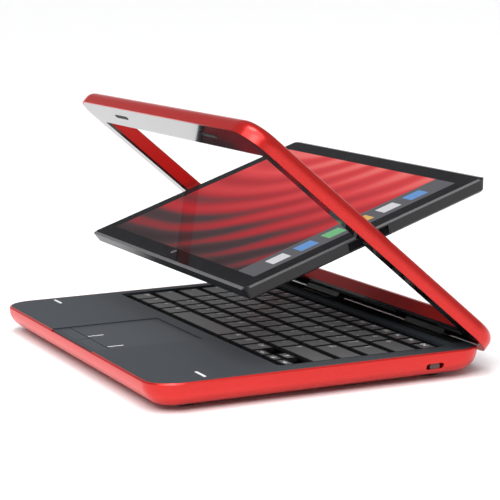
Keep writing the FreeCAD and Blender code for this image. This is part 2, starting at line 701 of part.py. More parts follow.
def build_palm_rest():
    """Dark deck plate with the keyboard opening and the touch pad pan."""
    deck = deck_outline(SEAT_CLEARANCE, DECK_Z - DECK_THICKNESS, DECK_Z)
    pan_front = FRONT_Y + BUTTON_FRONT - 1.2
    pan = box(PAD_LEFT - 3, PAD_RIGHT + 3, pan_front, PAD_BACK_Y + 3, PAN_BOTTOM, DECK_Z - DECK_THICKNESS)
    deck = joined([deck, pan])
    cuts = [cut_slab(WELL_LEFT, WELL_RIGHT, WELL_FRONT, WELL_BACK, 0, DECK_Z + 5, WELL_CORNER)]
    cuts.append(cut_slab(PAD_LEFT, PAD_RIGHT, FRONT_Y - 20, PAD_BACK_Y, DECK_Z - PAD_RECESS, DECK_Z + 5,
                         PAD_CORNER))
    cuts.append(cut_slab(PAD_LEFT, PAD_RIGHT, PAD_FRONT_Y, PAD_BACK_Y,
                         DECK_Z - PAD_RECESS - PAD_THICKNESS, DECK_Z + 5, PAD_CORNER))
    cuts.append(box(PAD_LEFT, PAD_RIGHT, FRONT_Y + BUTTON_FRONT, PAD_FRONT_Y, PAN_BOTTOM + PAN_FLOOR,
                    DECK_Z + 5))
    for span in button_spans().values():
        cuts += button_posts(span, BUTTON_POST / 2 + POST_CLEARANCE, 0, DECK_Z)
    cuts += both_sides(deck_bumper(0.02, DECK_Z + 5))
    return deck.cut(cuts).removeSplitter()


def build_hinge_cover():
    """Round black nose that holds the hinge pins."""
    block = box(-COVER_HALF + SEAT_CLEARANCE, COVER_HALF - SEAT_CLEARANCE, COVER_FRONT + SEAT_CLEARANCE,
                REAR_Y + 5,
                DECK_Z - COVER_DROP, DECK_Z)
    cover = base_envelope(0).common(block)
    return cover.cut(arm_pockets() + hinge_pin_rods(HINGE_PIN_RADIUS + PIN_FIT, 0.5)).removeSplitter()


def lid_block():
    """Block with the outline of the lid."""
    return slab(-HALF_WIDTH, HALF_WIDTH, LID_FRONT, LID_BACK, LID_UNDER, LID_TOP, PLAN_RADIUS)


def bezel_outline(inset, z0, z1):
    """Block with the outline of the bezel, which stops short of the lid's back edge."""
    edge = BEZEL_INSET + inset
    return slab(-HALF_WIDTH + edge, HALF_WIDTH - edge, LID_FRONT + edge,
                LID_BACK - BEZEL_BACK_INSET - inset, z0, z1,
                PLAN_RADIUS - edge)


def lid_opening(z0, z1):
    """Window in the lid that the screen turns in."""
    return cut_slab(-OPENING_HALF, OPENING_HALF, OPENING_FRONT, OPENING_BACK, z0, z1, OPENING_CORNER)


def arm_feet(grow):
    """Upright webs that carry the hinge arms into the lid, or their pockets."""
    foot = box(ARM_INNER_X - grow, ARM_INNER_X + ARM_LENGTH + grow,
               HINGE_Y - ARM_FOOT_HALF - grow, HINGE_Y + ARM_FOOT_HALF + grow, HINGE_Z, HINGE_Z + ARM_FOOT_RISE)
    return both_sides(foot)


def build_lid_frame():
    """Red ring with a generous outer edge."""
    ring = lid_block()
    ring = ring.makeFillet(LID_EDGE_RADIUS, level_edges(ring, LID_TOP))
    ring = ring.cut(lid_opening(LID_UNDER - 1, LID_TOP + 1))
    inner_edges = [edge for edge in level_edges(ring, LID_TOP)
                   if abs(edge.BoundBox.Center.x) < OPENING_HALF + 1
                   and edge.BoundBox.YMax < OPENING_BACK + 0.1
                   and edge.BoundBox.YMin > OPENING_FRONT - 0.1]
    ring = ring.makeChamfer(1.2, inner_edges)
    cuts = [bezel_outline(0, LID_UNDER - 1, LID_UNDER + BEZEL_THICKNESS)]
    cuts += arm_feet(PIN_FIT)
    cuts += pivot_rods(PIVOT_PIN_RADIUS + PIN_FIT)
    return ring.cut(cuts).removeSplitter()


def lid_bumper_strips(grow, z0):
    """Soft strips on the inner face of the lid, or their pockets."""
    z1 = LID_UNDER + BUMPER_SUNK
    top_y = HINGE_Y - 182.0 * BASE_DEPTH / 199.0
    low_y = HINGE_Y - 9.5
    width = LID_BUMPER_WIDTH + grow
    strips = both_sides(bumper_slab(HALF_WIDTH - 78.5, HALF_WIDTH - 57.5, top_y, width, z0, z1))
    strips += both_sides(bumper_slab(HALF_WIDTH - 44.5, HALF_WIDTH - 16.5, low_y, width, z0, z1))
    strips.append(bumper_slab(-45.0, 45.0, low_y, width, z0, z1))
    return strips


def build_lid_bezel():
    """Glossy black skin on the inner face of the lid."""
    skin = bezel_outline(SEAT_CLEARANCE, LID_UNDER, LID_UNDER + BEZEL_THICKNESS)
    cuts = [lid_opening(LID_UNDER - 1, LID_TOP)]
    cuts += arm_feet(PIN_FIT)
    cuts += lid_bumper_strips(0.02, LID_UNDER - 1)
    return skin.cut(cuts).removeSplitter()


def hinge_arm():
    """Barrel that turns on the hinge pin, with its foot in the lid."""
    barrel = rod_x(ARM_INNER_X, ARM_INNER_X + ARM_LENGTH, HINGE_Y, HINGE_Z, ARM_RADIUS)
    arm = joined([barrel, arm_feet(0)[0]])
    return arm.cut(rod_x(0, HALF_WIDTH, HINGE_Y, HINGE_Z, HINGE_PIN_RADIUS + RUNNING_FIT))


def pivot_rods(radius):
    """The two pins the screen turns on, or the holes they sit in."""
    return both_sides(rod_x(HUB_FACE - PIVOT_PIN_BITE, OPENING_HALF + PIVOT_PIN_BITE, PIVOT_Y, PIVOT_Z,
                            radius))


def screen_outline(inset, z):
    """Level outline of the screen slab, drawn in by an inset."""
    half_x = SCREEN_HALF_WIDTH - inset
    half_y = SCREEN_HALF_HEIGHT - inset
    radius = max(SCREEN_RADIUS - inset, 0.6)
    return rounded_outline(-half_x, half_x, PIVOT_Y - half_y, PIVOT_Y + half_y, radius, z)


def screen_block(inset, z0, z1):
    """Block with the outline of the screen slab, its corners cut off."""
    half_x = SCREEN_HALF_WIDTH - inset
    half_y = SCREEN_HALF_HEIGHT - inset
    corner = SCREEN_RADIUS / 4
    return cut_slab(-half_x, half_x, PIVOT_Y - half_y, PIVOT_Y + half_y, z0, z1, corner)


def hub_block(grow, x0, x1):
    """Bearing block at the right hand end of the screen, or its pocket."""
    half = HUB_HEIGHT / 2 + grow
    rise = HUB_THICKNESS / 2 + grow
    return box(x0, x1, PIVOT_Y - half, PIVOT_Y + half, PIVOT_Z - rise, PIVOT_Z + rise)


def build_screen_back():
    """Tapered back tub of the screen, with seats for the glass, the panel and the hubs."""
    rim_z = SCREEN_FRONT_Z - SCREEN_CHAMFER_DROP
    tub = tapered([screen_outline(SCREEN_TAPER, SCREEN_BACK_Z), screen_outline(0, rim_z)])
    rim = tapered([screen_outline(0, rim_z), screen_outline(SCREEN_CHAMFER_WIDTH, SCREEN_FRONT_Z)])
    tub = joined([tub, rim])
    tub = tub.makeChamfer(1.2, level_edges(tub, SCREEN_BACK_Z))
    ledge_z = SCREEN_FRONT_Z - GLASS_THICKNESS
    floor_z = SCREEN_BACK_Z + SCREEN_WALL
    cuts = [screen_block(GLASS_MARGIN, ledge_z, SCREEN_FRONT_Z + 1)]
    cuts.append(screen_block(GLASS_MARGIN + GLASS_LEDGE + 1.0, floor_z, SCREEN_FRONT_Z))
    hollow = tub.cut(cuts)

    # Bearing seats at the two ends, and four pads under the panel
    seat = hub_block(1.2, HUB_FACE - HUB_DEPTH - 1.0, HUB_FACE - 0.5)
    seat = seat.common(screen_block(GLASS_MARGIN, SCREEN_BACK_Z + 0.1, ledge_z))
    pads = [box(x - 4, x + 4, y - 4, y + 4, floor_z - 0.2, ledge_z - LCD_THICKNESS)
            for x in (-LCD_WIDTH / 2 + 12, LCD_WIDTH / 2 - 12)
            for y in (PIVOT_Y - LCD_HEIGHT / 2 + 12, PIVOT_Y + LCD_HEIGHT / 2 - 12)]
    back = joined([hollow] + both_sides(seat) + pads)
    return back.cut(both_sides(hub_block(0.0, HUB_FACE - HUB_DEPTH, HALF_WIDTH))).removeSplitter()


def build_glass():
    """Clear front sheet of the screen."""
    return screen_block(GLASS_MARGIN + SEAT_CLEARANCE, SCREEN_FRONT_Z - GLASS_THICKNESS, SCREEN_FRONT_Z)


def build_lcd():
    """Display panel behind the glass."""
    top = SCREEN_FRONT_Z - GLASS_THICKNESS
    return cut_slab(-LCD_WIDTH / 2, LCD_WIDTH / 2, PIVOT_Y - LCD_HEIGHT / 2, PIVOT_Y + LCD_HEIGHT / 2,
                    top - LCD_THICKNESS, top, 1.0)


def build_screen_board():
    """Thin driver board on the back wall, behind the panel."""
    z = SCREEN_BACK_Z + SCREEN_WALL
    y0 = PIVOT_Y - LCD_HEIGHT / 2 + SCREEN_BOARD_INSET
    half = SCREEN_BOARD_WIDTH / 2
    board = cut_slab(-half, half, y0, y0 + SCREEN_BOARD_DEPTH, z, z + 0.8, 1.0)
    chip_y = y0 + (SCREEN_BOARD_DEPTH - SCREEN_CHIP) / 2
    chips = [box(x - SCREEN_CHIP / 2, x + SCREEN_CHIP / 2, chip_y, chip_y + SCREEN_CHIP, z + 0.7, z + 1.5)
             for x in (-half * 0.66, 0, half * 0.66)]
    return joined([board] + chips)


def build_webcam():
    """Camera module above the panel, its lens against the glass."""
    top = SCREEN_FRONT_Z - GLASS_THICKNESS
    y = PIVOT_Y - LCD_HEIGHT / 2 - 3.4
    floor_z = SCREEN_BACK_Z + SCREEN_WALL
    body = box(-11, 11, y - 2.6, y + 2.6, floor_z, top - 1.2)
    return joined([body, prism(0, y, top - 1.4, top - 0.1, 2.1, ROUND_SIDES)])


def build_hub():
    """Bearing block with its blind bore."""
    block = hub_block(0.0, HUB_FACE - HUB_DEPTH, HUB_FACE)
    upright = [edge for edge in block.Edges if abs(edge.BoundBox.XMax - edge.BoundBox.XMin) > 1]
    block = block.makeChamfer(0.8, upright)
    bore = rod_x(HUB_FACE - PIVOT_PIN_BITE - 0.5, HALF_WIDTH, PIVOT_Y, PIVOT_Z,
                 PIVOT_PIN_RADIUS + RUNNING_FIT)
    return block.cut(bore)


def key_rows():
    """Rows of keys from the user backwards: name of each key and its width in key units."""
    bottom = [("left_control_key", 1.125), ("fn_key", 1.125), ("start_key", 1.125), ("left_alt_key", 1.125),
              ("space_bar", 4.75), ("right_alt_key", 1.0), ("menu_key", 1.0), ("right_control_key", 1.0)]
    lower = [("left_shift_key", 2.25)] + [("lower_letter_keys", 1.0)] * 10 + [("right_shift_key", 2.75)]
    home = [("caps_key", 1.75)] + [("home_letter_keys", 1.0)] * 11 + [("enter_key", 2.25)]
    upper = [("tab_key", 1.5)] + [("upper_letter_keys", 1.0)] * 12 + [("upper_letter_keys", 1.5)]
    numbers = [("number_keys", 1.0)] * 13 + [("backspace_key", 2.0)]
    functions = [("function_keys", ROW_UNITS / 16)] * 16
    return [bottom, lower, home, upper, numbers, functions]


def key_places():
    """Name and plan rectangle of every key."""
    places = []
    for row, keys in enumerate(key_rows()):
        y0 = KEYS_FRONT + row * ROW_PITCH
        y1 = y0 + (TOP_ROW_DEPTH if row == 5 else KEY_DEPTH)
        x = KEYS_LEFT
        for name, units in keys:
            places.append((name, x + KEY_GAP / 2, x + units * KEY_UNIT - KEY_GAP / 2, y0, y1))
            x += units * KEY_UNIT
    # Arrow keys are half as deep as the others, three in front and one behind
    arrow_width = (KEYS_RIGHT - (KEYS_LEFT + 12.25 * KEY_UNIT)) / 3
    middle = KEYS_FRONT + KEY_DEPTH / 2
    for place, name in enumerate(("left_arrow_key", "down_arrow_key", "right_arrow_key")):
        x = KEYS_LEFT + 12.25 * KEY_UNIT + place * arrow_width
        places.append((name, x + KEY_GAP / 2, x + arrow_width - KEY_GAP / 2, KEYS_FRONT,
                       middle - KEY_GAP / 2))
        if name == "down_arrow_key":
            places.append(("up_arrow_key", x + KEY_GAP / 2, x + arrow_width - KEY_GAP / 2,
                           middle + KEY_GAP / 2, KEYS_FRONT + KEY_DEPTH))
    return places


def key_posts(x0, x1, y0, y1, grow, z0, z1):
    """Square guide posts under one key, two on a wide key, or their holes."""
    half = POST_SIZE / 2 + grow
    middle = (y0 + y1) / 2
    centres = [(x0 + x1) / 2]
    if x1 - x0 > 1.9 * KEY_UNIT:
        quarter = (x1 - x0) / 4
        centres = [x0 + quarter, x1 - quarter]
    return [box(x - half, x + half, middle - half, middle + half, z0, z1) for x in centres]


def key_solid(x0, x1, y0, y1):
    """Key cap with sloped sides on its guide posts."""
    foot = corner_points(x0, x1, y0, y1, KEY_BOTTOM)
    top = corner_points(x0 + KEY_TAPER, x1 - KEY_TAPER, y0 + KEY_TAPER, y1 - KEY_TAPER, KEY_TOP)
    cap = flat_sided(foot, top)
    return joined([cap] + key_posts(x0, x1, y0, y1, 0, KEY_BOTTOM - POST_LENGTH, KEY_BOTTOM))


def build_keyboard_base():
    """Tray under the keys, with one guide slot for the posts of each row."""
    tray = cut_slab(WELL_LEFT - TRAY_WALL, WELL_RIGHT + TRAY_WALL, WELL_FRONT - TRAY_WALL,
                    WELL_BACK + TRAY_WALL,
                    TRAY_BOTTOM, TRAY_TOP, TRAY_CORNER)
    cuts = [cut_slab(WELL_LEFT, WELL_RIGHT, WELL_FRONT, WELL_BACK, TRAY_FLOOR_TOP, TRAY_TOP + 1, WELL_CORNER)]
    rows = {}
    for name, x0, x1, y0, y1 in key_places():
        holes = key_posts(x0, x1, y0, y1, POST_CLEARANCE, TRAY_BOTTOM - 1, TRAY_FLOOR_TOP + 1)
        rows.setdefault(round(y0 + y1, 3), []).extend(hole.BoundBox for hole in holes)
    for bounds in rows.values():
        cuts.append(box(min(each.XMin for each in bounds), max(each.XMax for each in bounds),
                        bounds[0].YMin, bounds[0].YMax, bounds[0].ZMin, bounds[0].ZMax))
    return tray.cut(cuts)


def board_posts():
    """Low posts that carry the main board."""
    left = BOARD_LEFT + BOARD_POST_INSET
    right = BOARD_RIGHT - BOARD_POST_INSET - 1.0
    front = ROW_GAP_LINES[0] - 8
    back = ROW_GAP_LINES[3] - 6
    return [(left, front), (left, back), (right, front), (right, back), (0, ROW_GAP_LINES[3] + 2)]


def build_main_board():
    """Main circuit board with its chips, cut out over the memory door."""
    board = cut_slab(BOARD_LEFT, BOARD_RIGHT, WELL_FRONT + 8, ROW_GAP_LINES[4] - 6, BOARD_BOTTOM,
                     BOARD_TOP, 3)
    cuts = [prism(x, y, 0, DECK_Z, BOSS_RADIUS + 0.6, BOSS_SIDES) for x, y, top in screw_places()]
    cuts.append(box(MODULE_X - MODULE_WIDTH / 2 + MODULE_BITE, MODULE_X + MODULE_WIDTH / 2 - MODULE_BITE,
                    MODULE_Y - MODULE_DEPTH / 2 + MODULE_BITE, MODULE_Y + MODULE_DEPTH / 2 - MODULE_BITE,
                    0, DECK_Z))
    board = board.cut(cuts)
    chips = [box(PROCESSOR_LEFT, PROCESSOR_LEFT + PROCESSOR_SIZE, PROCESSOR_FRONT,
                 PROCESSOR_FRONT + PROCESSOR_SIZE,
                 BOARD_TOP - 0.2, BOARD_TOP + 0.4)]
    bridge = BOARD_LEFT + BRIDGE_INSET
    chips.append(box(bridge, bridge + PROCESSOR_SIZE, ROW_GAP_LINES[0] - 7, ROW_GAP_LINES[0] + 7,
                     BOARD_TOP - 0.2, BOARD_TOP + 0.9))
    chips += [box(x, x + 9, ROW_GAP_LINES[3] - 2, ROW_GAP_LINES[3] + 4, BOARD_TOP - 0.2, BOARD_TOP + 0.9)
              for x in (12, 26, 40)]
    return joined([board] + chips)


def build_memory_module():
    """Memory module lying over the opening in the main board."""
    x0 = MODULE_X - MODULE_WIDTH / 2
    y0 = MODULE_Y - MODULE_DEPTH / 2
    card = box(x0, x0 + MODULE_WIDTH, y0, y0 + MODULE_DEPTH, BOARD_TOP, BOARD_TOP + MODULE_THICKNESS)
    chips = [box(x0 + 6 + 15 * place, x0 + 17 + 15 * place, y0 + 8, y0 + 22, BOARD_TOP - 0.6, BOARD_TOP + 0.1)
             for place in range(4)]
    notch = box(x0 + 22, x0 + 24, y0 - 1, y0 + 3, 0, DECK_Z)
    return joined([card] + chips).cut(notch)


def build_wireless_card():
    """Small radio card on the main board."""
    x = BOARD_RIGHT - CARD_WIDTH - 3
    card = cut_slab(x, x + CARD_WIDTH, ROW_GAP_LINES[0] - 8, ROW_GAP_LINES[0] + 18, BOARD_TOP,
                    BOARD_TOP + 0.5, 1)
    can = cut_slab(x + 2, x + CARD_WIDTH - 2, ROW_GAP_LINES[0] - 4, ROW_GAP_LINES[0] + 12,
                   BOARD_TOP + 0.4, BOARD_TOP + 1.2, 1)
    return joined([card, can])


def build_fan_housing():
    """Flat blower housing with an outlet towards the vents."""
    shell = cut_slab(FAN_LEFT, FAN_RIGHT, FAN_FRONT, FAN_BACK, FLOOR_Z, FAN_TOP, 4)
    chamber = prism(FAN_X, FAN_Y, FLOOR_Z + FAN_SKIN, FAN_TOP - FAN_SKIN, FAN_CHAMBER, 2 * ROUND_SIDES)
    outlet = box(FAN_LEFT - 1, FAN_X, FAN_Y - FAN_CHAMBER + 1.5, FAN_Y + FAN_CHAMBER - 1.5,
                 FLOOR_Z + FAN_SKIN, FAN_TOP - FAN_SKIN)
    shell = shell.cut(chamber.fuse(outlet))
    inlets = []
    for place in range(FAN_INLETS):
        turn = 2 * math.pi * place / FAN_INLETS
        x = FAN_X + FAN_INLET_CIRCLE * math.cos(turn)
        y = FAN_Y + FAN_INLET_CIRCLE * math.sin(turn)
        inlets.append(prism(x, y, 0, FLOOR_Z + 1, FAN_INLET_RADIUS, BOSS_SIDES))
    shell = shell.cut(inlets)
    shaft = rod_z(FAN_X, FAN_Y, FLOOR_Z + 0.1, FAN_TOP - FAN_SKIN - 0.3, FAN_SHAFT)
    thrust = prism(FAN_X, FAN_Y, FLOOR_Z + 0.1, FLOOR_Z + FAN_SKIN + 0.35, FAN_SHAFT + 1, BOSS_SIDES)
    return joined([shell, shaft, thrust])


def fan_point(radius, turn, z):
    """Point at a radius and an angle round the fan's axis."""
    return V(FAN_X + radius * math.cos(turn), FAN_Y + radius * math.sin(turn), z)


def build_fan_rotor():
    """Fan wheel with swept blades round its hub."""
    z0 = FLOOR_Z + FAN_SKIN + 0.4
    z1 = FAN_TOP - FAN_SKIN - 0.4
    pieces = [rod_z(FAN_X, FAN_Y, z0, z1, FAN_HUB)]
    lean = math.radians(FAN_BLADE_LEAN)
    middle = (FAN_HUB + FAN_BLADE_REACH) / 2
    for place in range(FAN_BLADES):
        turn = 2 * math.pi * place / FAN_BLADES
        start = fan_point(FAN_HUB - 1, turn, z0)
        bend = fan_point(middle, turn + lean * 0.35, z0)
        tip = fan_point(FAN_BLADE_REACH, turn + lean, z0)
        side = V(-math.sin(turn + lean / 2), math.cos(turn + lean / 2), 0) * FAN_BLADE_THICKNESS
        blade = flat_face([start, bend, tip, tip + side, bend + side, start + side])
        pieces.append(blade.extrude(V(0, 0, z1 - z0)))
    return joined(pieces).cut(rod_z(FAN_X, FAN_Y, 0, DECK_Z, FAN_SHAFT + RUNNING_FIT))


def build_heat_sink():
    """Fin block at the vents, with a flat pipe from the processor."""
    fins = box(-FLOOR_HALF + 1.5, FAN_LEFT - 1.0, FAN_FRONT - 6, FAN_BACK - 3, FLOOR_Z, FAN_TOP)
    slots = []
    for place in range(FIN_COUNT):
        y = FAN_FRONT + FIN_GAP + place * FIN_PITCH
        slots.append(box(-HALF_WIDTH, FAN_LEFT, y, y + FIN_GAP, FLOOR_Z + 0.6, FAN_TOP - 0.6))
    fins = fins.cut(slots)
    pipe_y = FAN_FRONT - 3.5
    pipe_end = PROCESSOR_LEFT + PROCESSOR_SIZE - 1.0
    pipe = cut_slab(-FLOOR_HALF + 2.5, pipe_end, pipe_y - 2.5, pipe_y + 2.5, BOARD_TOP + 0.4,
                    BOARD_TOP + 1.2, 2.0)
    plate = cut_slab(PROCESSOR_LEFT - SPREADER_MARGIN, PROCESSOR_LEFT + PROCESSOR_SIZE + SPREADER_MARGIN,
                     PROCESSOR_FRONT - 1, pipe_y + 3, BOARD_TOP + 0.4, BOARD_TOP + 0.9, 2)
    return joined([fins, pipe, plate])


def speaker_places():
    """Plan rectangle of each loudspeaker."""
    x1 = FLOOR_HALF - 10.5
    y0 = PALM_FRONT + 10.0
    right = (x1 - SPEAKER_WIDTH, x1, y0, y0 + SPEAKER_DEPTH)
    left = (-x1, -x1 + SPEAKER_WIDTH, y0, y0 + SPEAKER_DEPTH)
    return [left, right]


def speaker(x0, x1, y0, y1):
    """Flat loudspeaker with a round magnet."""
    body = cut_slab(x0, x1, y0, y1, FLOOR_Z, FLOOR_Z + SPEAKER_HEIGHT - 1, 3)
    magnet = prism((x0 + x1) / 2, (y0 + y1) / 2, FLOOR_Z + 1, FLOOR_Z + SPEAKER_HEIGHT,
                   SPEAKER_WIDTH / 2 - 1.5, ROUND_SIDES)
    return joined([body, magnet])


def build_switch():
    """Slide switch: knob in the slot, guide plate behind the wall."""
    half = SWITCH_PLATE_LENGTH / 2
    rise = SWITCH_PLATE_HEIGHT / 2
    face = HALF_WIDTH - SWITCH_INSET - 0.2
    plate = box(face - SWITCH_PLATE_THICKNESS, face, SWITCH_Y - half, SWITCH_Y + half,
                SWITCH_Z - rise, SWITCH_Z + rise)
    half = SWITCH_KNOB_LENGTH / 2
    rise = SWITCH_KNOB_HEIGHT / 2
    length = HALF_WIDTH - SWITCH_KNOB_INSET - face + 0.5
    knob = cut_slab(SWITCH_Y - half, SWITCH_Y + half, -rise, rise, 0, length, rise / 2)
    knob.rotate(V(0, 0, 0), V(1, 1, 1), 120)
    knob.translate(V(face - 0.5, 0, SWITCH_Z))
    return joined([plate, knob])


def build_ports():
    """Sockets on the left side: two for data, one for sound, one for power."""
    blocks = port_blocks(0)
    shells = []
    for block, y in zip(blocks, usb_places()):
        half = USB_WIDTH / 2
        rise = USB_HEIGHT / 2
        shells.append(block.cut(box(PORT_MOUTH - 1, PORT_MOUTH + USB_DEPTH, y - half, y + half,
                                    PORT_Z - rise, PORT_Z + rise)))
    jack = blocks[2].cut(rod_x(PORT_MOUTH - 1, PORT_MOUTH + JACK_DEPTH, JACK_Y, PORT_Z, JACK_BORE))
    inlet_z = PORT_SHELF_Z + INLET_HEIGHT / 2
    inlet = blocks[3].cut(rod_x(PORT_MOUTH - 1, PORT_MOUTH + INLET_DEPTH, INLET_Y, inlet_z, INLET_BORE))
    return shells, jack, inlet


def build_battery():
    """Flat battery pack under the right hand palm rest."""
    pack = cut_slab(BATTERY_LEFT, BATTERY_RIGHT, PALM_FRONT, PALM_BACK, FLOOR_Z, FLOOR_Z + BATTERY_HEIGHT, 3)
    return pack.makeChamfer(1.0, level_edges(pack, FLOOR_Z + BATTERY_HEIGHT))


def build_drive():
    """Small storage drive under the left hand palm rest."""
    body = cut_slab(DRIVE_LEFT, DRIVE_RIGHT, PALM_FRONT, PALM_BACK, FLOOR_Z, FLOOR_Z + DRIVE_HEIGHT - 0.8, 2)
    cover = cut_slab(DRIVE_LEFT + 3, DRIVE_RIGHT - 3, PALM_FRONT + 3, PALM_BACK - 3,
                     FLOOR_Z + 1, FLOOR_Z + DRIVE_HEIGHT, 4)
    return joined([body, cover])


def build_base():
    """Write every piece that stays with the base, and the small moving ones in it."""
    save("bottom_case", [build_case()])
    save("palm_rest", [build_palm_rest()])
    save("hinge_cover", [build_hinge_cover()])
    save("keyboard_base", [build_keyboard_base()])
    save("touch_pad", [cut_slab(PAD_LEFT + SEAT_CLEARANCE, PAD_RIGHT - SEAT_CLEARANCE,
                                PAD_FRONT_Y + SEAT_CLEARANCE,
                                PAD_BACK_Y - SEAT_CLEARANCE, DECK_Z - PAD_RECESS - PAD_THICKNESS,
                                DECK_Z - PAD_RECESS, PAD_CORNER)])
    for name, span in button_spans().items():
        save(name, [pad_button(span)])
    save("rubber_feet", [rubber_foot(x, y) for x, y in foot_places()])
    save("case_screws", [screw(x, y) for x, y, top in screw_places()])
    save("deck_bumpers", both_sides(deck_bumper(0, DECK_Z + DECK_BUMPER_PROUD)))
    save("battery_pack", [build_battery()])
    save("memory_door", [memory_door(SEAT_CLEARANCE, FOOT_HEIGHT + DOOR_THICKNESS)])
    save("main_board", [build_main_board()])
    save("storage_drive", [build_drive()])
    save("memory_module", [build_memory_module()])
    save("wireless_card", [build_wireless_card()])
    save("fan_housing", [build_fan_housing()])
    save("fan_rotor", [build_fan_rotor()])
    save("heat_sink", [build_heat_sink()])
    save("speakers", [speaker(*place) for place in speaker_places()])
    save("power_switch", [build_switch()])
    shells, jack, inlet = build_ports()
    save("usb_sockets", shells)
    save("audio_jack", [jack])
    save("power_inlet", [inlet])
    save("hinge_pins", hinge_pin_rods(HINGE_PIN_RADIUS, 0))


def build_keys():
    """Write the key nodes; keys with the same name go in one node as separate solids."""
    groups = {}
    for name, x0, x1, y0, y1 in key_places():
        groups.setdefault(name, []).append(key_solid(x0, x1, y0, y1))
    for name, solids in groups.items():
        save(name, solids)


def build_lid():
    """Write the ring and everything that rides on it."""
    save_lid("lid_frame", [build_lid_frame()])
    save_lid("lid_bezel", [build_lid_bezel()])
    save_lid("lid_bumpers", lid_bumper_strips(0, LID_UNDER - LID_BUMPER_PROUD))
    save_lid("lid_hinge_arms", both_sides(hinge_arm()))
    save_lid("screen_pivot_pins", pivot_rods(PIVOT_PIN_RADIUS))


def build_screen():
    """Write the screen slab and everything inside it."""
    save_screen("screen_back", [build_screen_back()])
    save_screen("screen_glass", [build_glass()])
    save_screen("lcd_panel", [build_lcd()])
    save_screen("screen_board", [build_screen_board()])
    save_screen("webcam_module", [build_webcam()])
    save_screen("pivot_hubs", both_sides(build_hub()))


os.makedirs("parts", exist_ok=True)
build_base()
build_keys()
build_lid()
build_screen()
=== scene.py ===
"""Looks for a small flip-screen laptop computer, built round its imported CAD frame."""

import json
import logging
import math
from dataclasses import dataclass, field
from enum import Enum

import bmesh
import bpy
from mathutils import Matrix, Vector

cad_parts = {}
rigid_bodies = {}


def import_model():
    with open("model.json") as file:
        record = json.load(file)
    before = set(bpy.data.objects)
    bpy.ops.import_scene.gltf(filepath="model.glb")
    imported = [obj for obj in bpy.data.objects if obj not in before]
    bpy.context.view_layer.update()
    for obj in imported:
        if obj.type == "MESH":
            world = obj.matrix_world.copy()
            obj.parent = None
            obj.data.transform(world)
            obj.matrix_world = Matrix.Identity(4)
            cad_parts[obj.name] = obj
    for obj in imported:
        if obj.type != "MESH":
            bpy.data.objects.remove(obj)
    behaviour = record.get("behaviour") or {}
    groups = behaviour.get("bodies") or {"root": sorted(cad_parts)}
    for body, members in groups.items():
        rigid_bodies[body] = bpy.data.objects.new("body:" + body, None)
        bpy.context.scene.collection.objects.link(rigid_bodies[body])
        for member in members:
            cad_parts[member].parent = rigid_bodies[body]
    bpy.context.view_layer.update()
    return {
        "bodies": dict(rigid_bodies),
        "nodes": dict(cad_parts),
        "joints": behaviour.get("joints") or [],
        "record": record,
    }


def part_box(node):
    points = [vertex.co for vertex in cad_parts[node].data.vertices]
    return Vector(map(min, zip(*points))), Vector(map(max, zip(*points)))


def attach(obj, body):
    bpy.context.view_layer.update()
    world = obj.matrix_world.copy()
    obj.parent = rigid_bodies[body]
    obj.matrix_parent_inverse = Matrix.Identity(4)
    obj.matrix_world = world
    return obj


LOG = logging.getLogger("laptop")

Size = tuple[float, float, float]
Place = tuple[float, float, float]
Colour = tuple[float, float, float]
Stops = tuple[tuple[float, Colour], ...]
Profile = tuple[tuple[float, float], ...]
Box = tuple[Vector, Vector]
Polygon = list[Vector]
Wire = tuple[bpy.types.Node, str, bpy.types.Node, str | int]

# Lengths are in metres.
WELD_DISTANCE = 1e-6
MERGE_DISTANCE = 1e-7
TOP_DEPTH = 0.00005
PRINT_DEPTH = 0.00006
BUMP_DISTANCE = 0.0004
ZERO = Vector((0.0, 0.0, 0.0))

# How the fine grain works on every finish.
ROUGHNESS_SPREAD = 0.12
GRAIN_DETAIL = 3.0
GRAIN_LOW = 0.3
GRAIN_HIGH = 0.7


class Glyph(Enum):
    """Signs that are drawn, not written."""

    LEFT = "left"
    RIGHT = "right"
    UP = "up"
    DOWN = "down"
    RETURN = "return"
    TAB = "tab"
    DOT = "dot"
    LINES = "lines"


class Spot(Enum):
    """Where a mark lies on a key top, as shares of the free space across and along the key."""

    CENTRE = (0.5, 0.5)
    TOP_LEFT = (0.0, 1.0)
    LOWER_RIGHT = (1.0, 0.0)


class Detail(Enum):
    """Scale of a finish's grain along X, Y and Z; a small scale stretches it."""

    EVEN = (1.0, 1.0, 1.0)
    ALONG_X = (0.06, 1.0, 1.0)


def new_shader(name: str) -> tuple[bpy.types.Material, bpy.types.ShaderNode]:
    """Make a material.

    Args:
        name: Name of the material.

    Returns:
        The material and its Principled shader.
    """
    material = bpy.data.materials.new(name)
    material.use_nodes = True
    return material, material.node_tree.nodes["Principled BSDF"]


def set_inputs(node: bpy.types.Node, values: dict[str, float | tuple[float, ...]]) -> None:
    """Set plain inputs of a node by their names."""
    for label, value in values.items():
        node.inputs[label].default_value = value


def join(tree: bpy.types.NodeTree, *wires: Wire) -> None:
    """Join nodes by wires, each given as a node, its output, another node and that one's input."""
    for source, output, target, entry in wires:
        tree.links.new(source.outputs[output], target.inputs[entry])


def new_ramp(tree: bpy.types.NodeTree, stops: Stops) -> bpy.types.ShaderNode:
    """Add a colour ramp.

    Args:
        tree: Node tree of a material or of the world.
        stops: Places from 0 to 1 and the colour at each of them.

    Returns:
        The ramp's node.
    """
    node = tree.nodes.new("ShaderNodeValToRGB")
    elements = node.color_ramp.elements
    elements.remove(elements[1])
    elements[0].position = stops[0][0]
    elements[0].color = (*stops[0][1], 1.0)
    for position, colour in stops[1:]:
        elements.new(position).color = (*colour, 1.0)
    return node


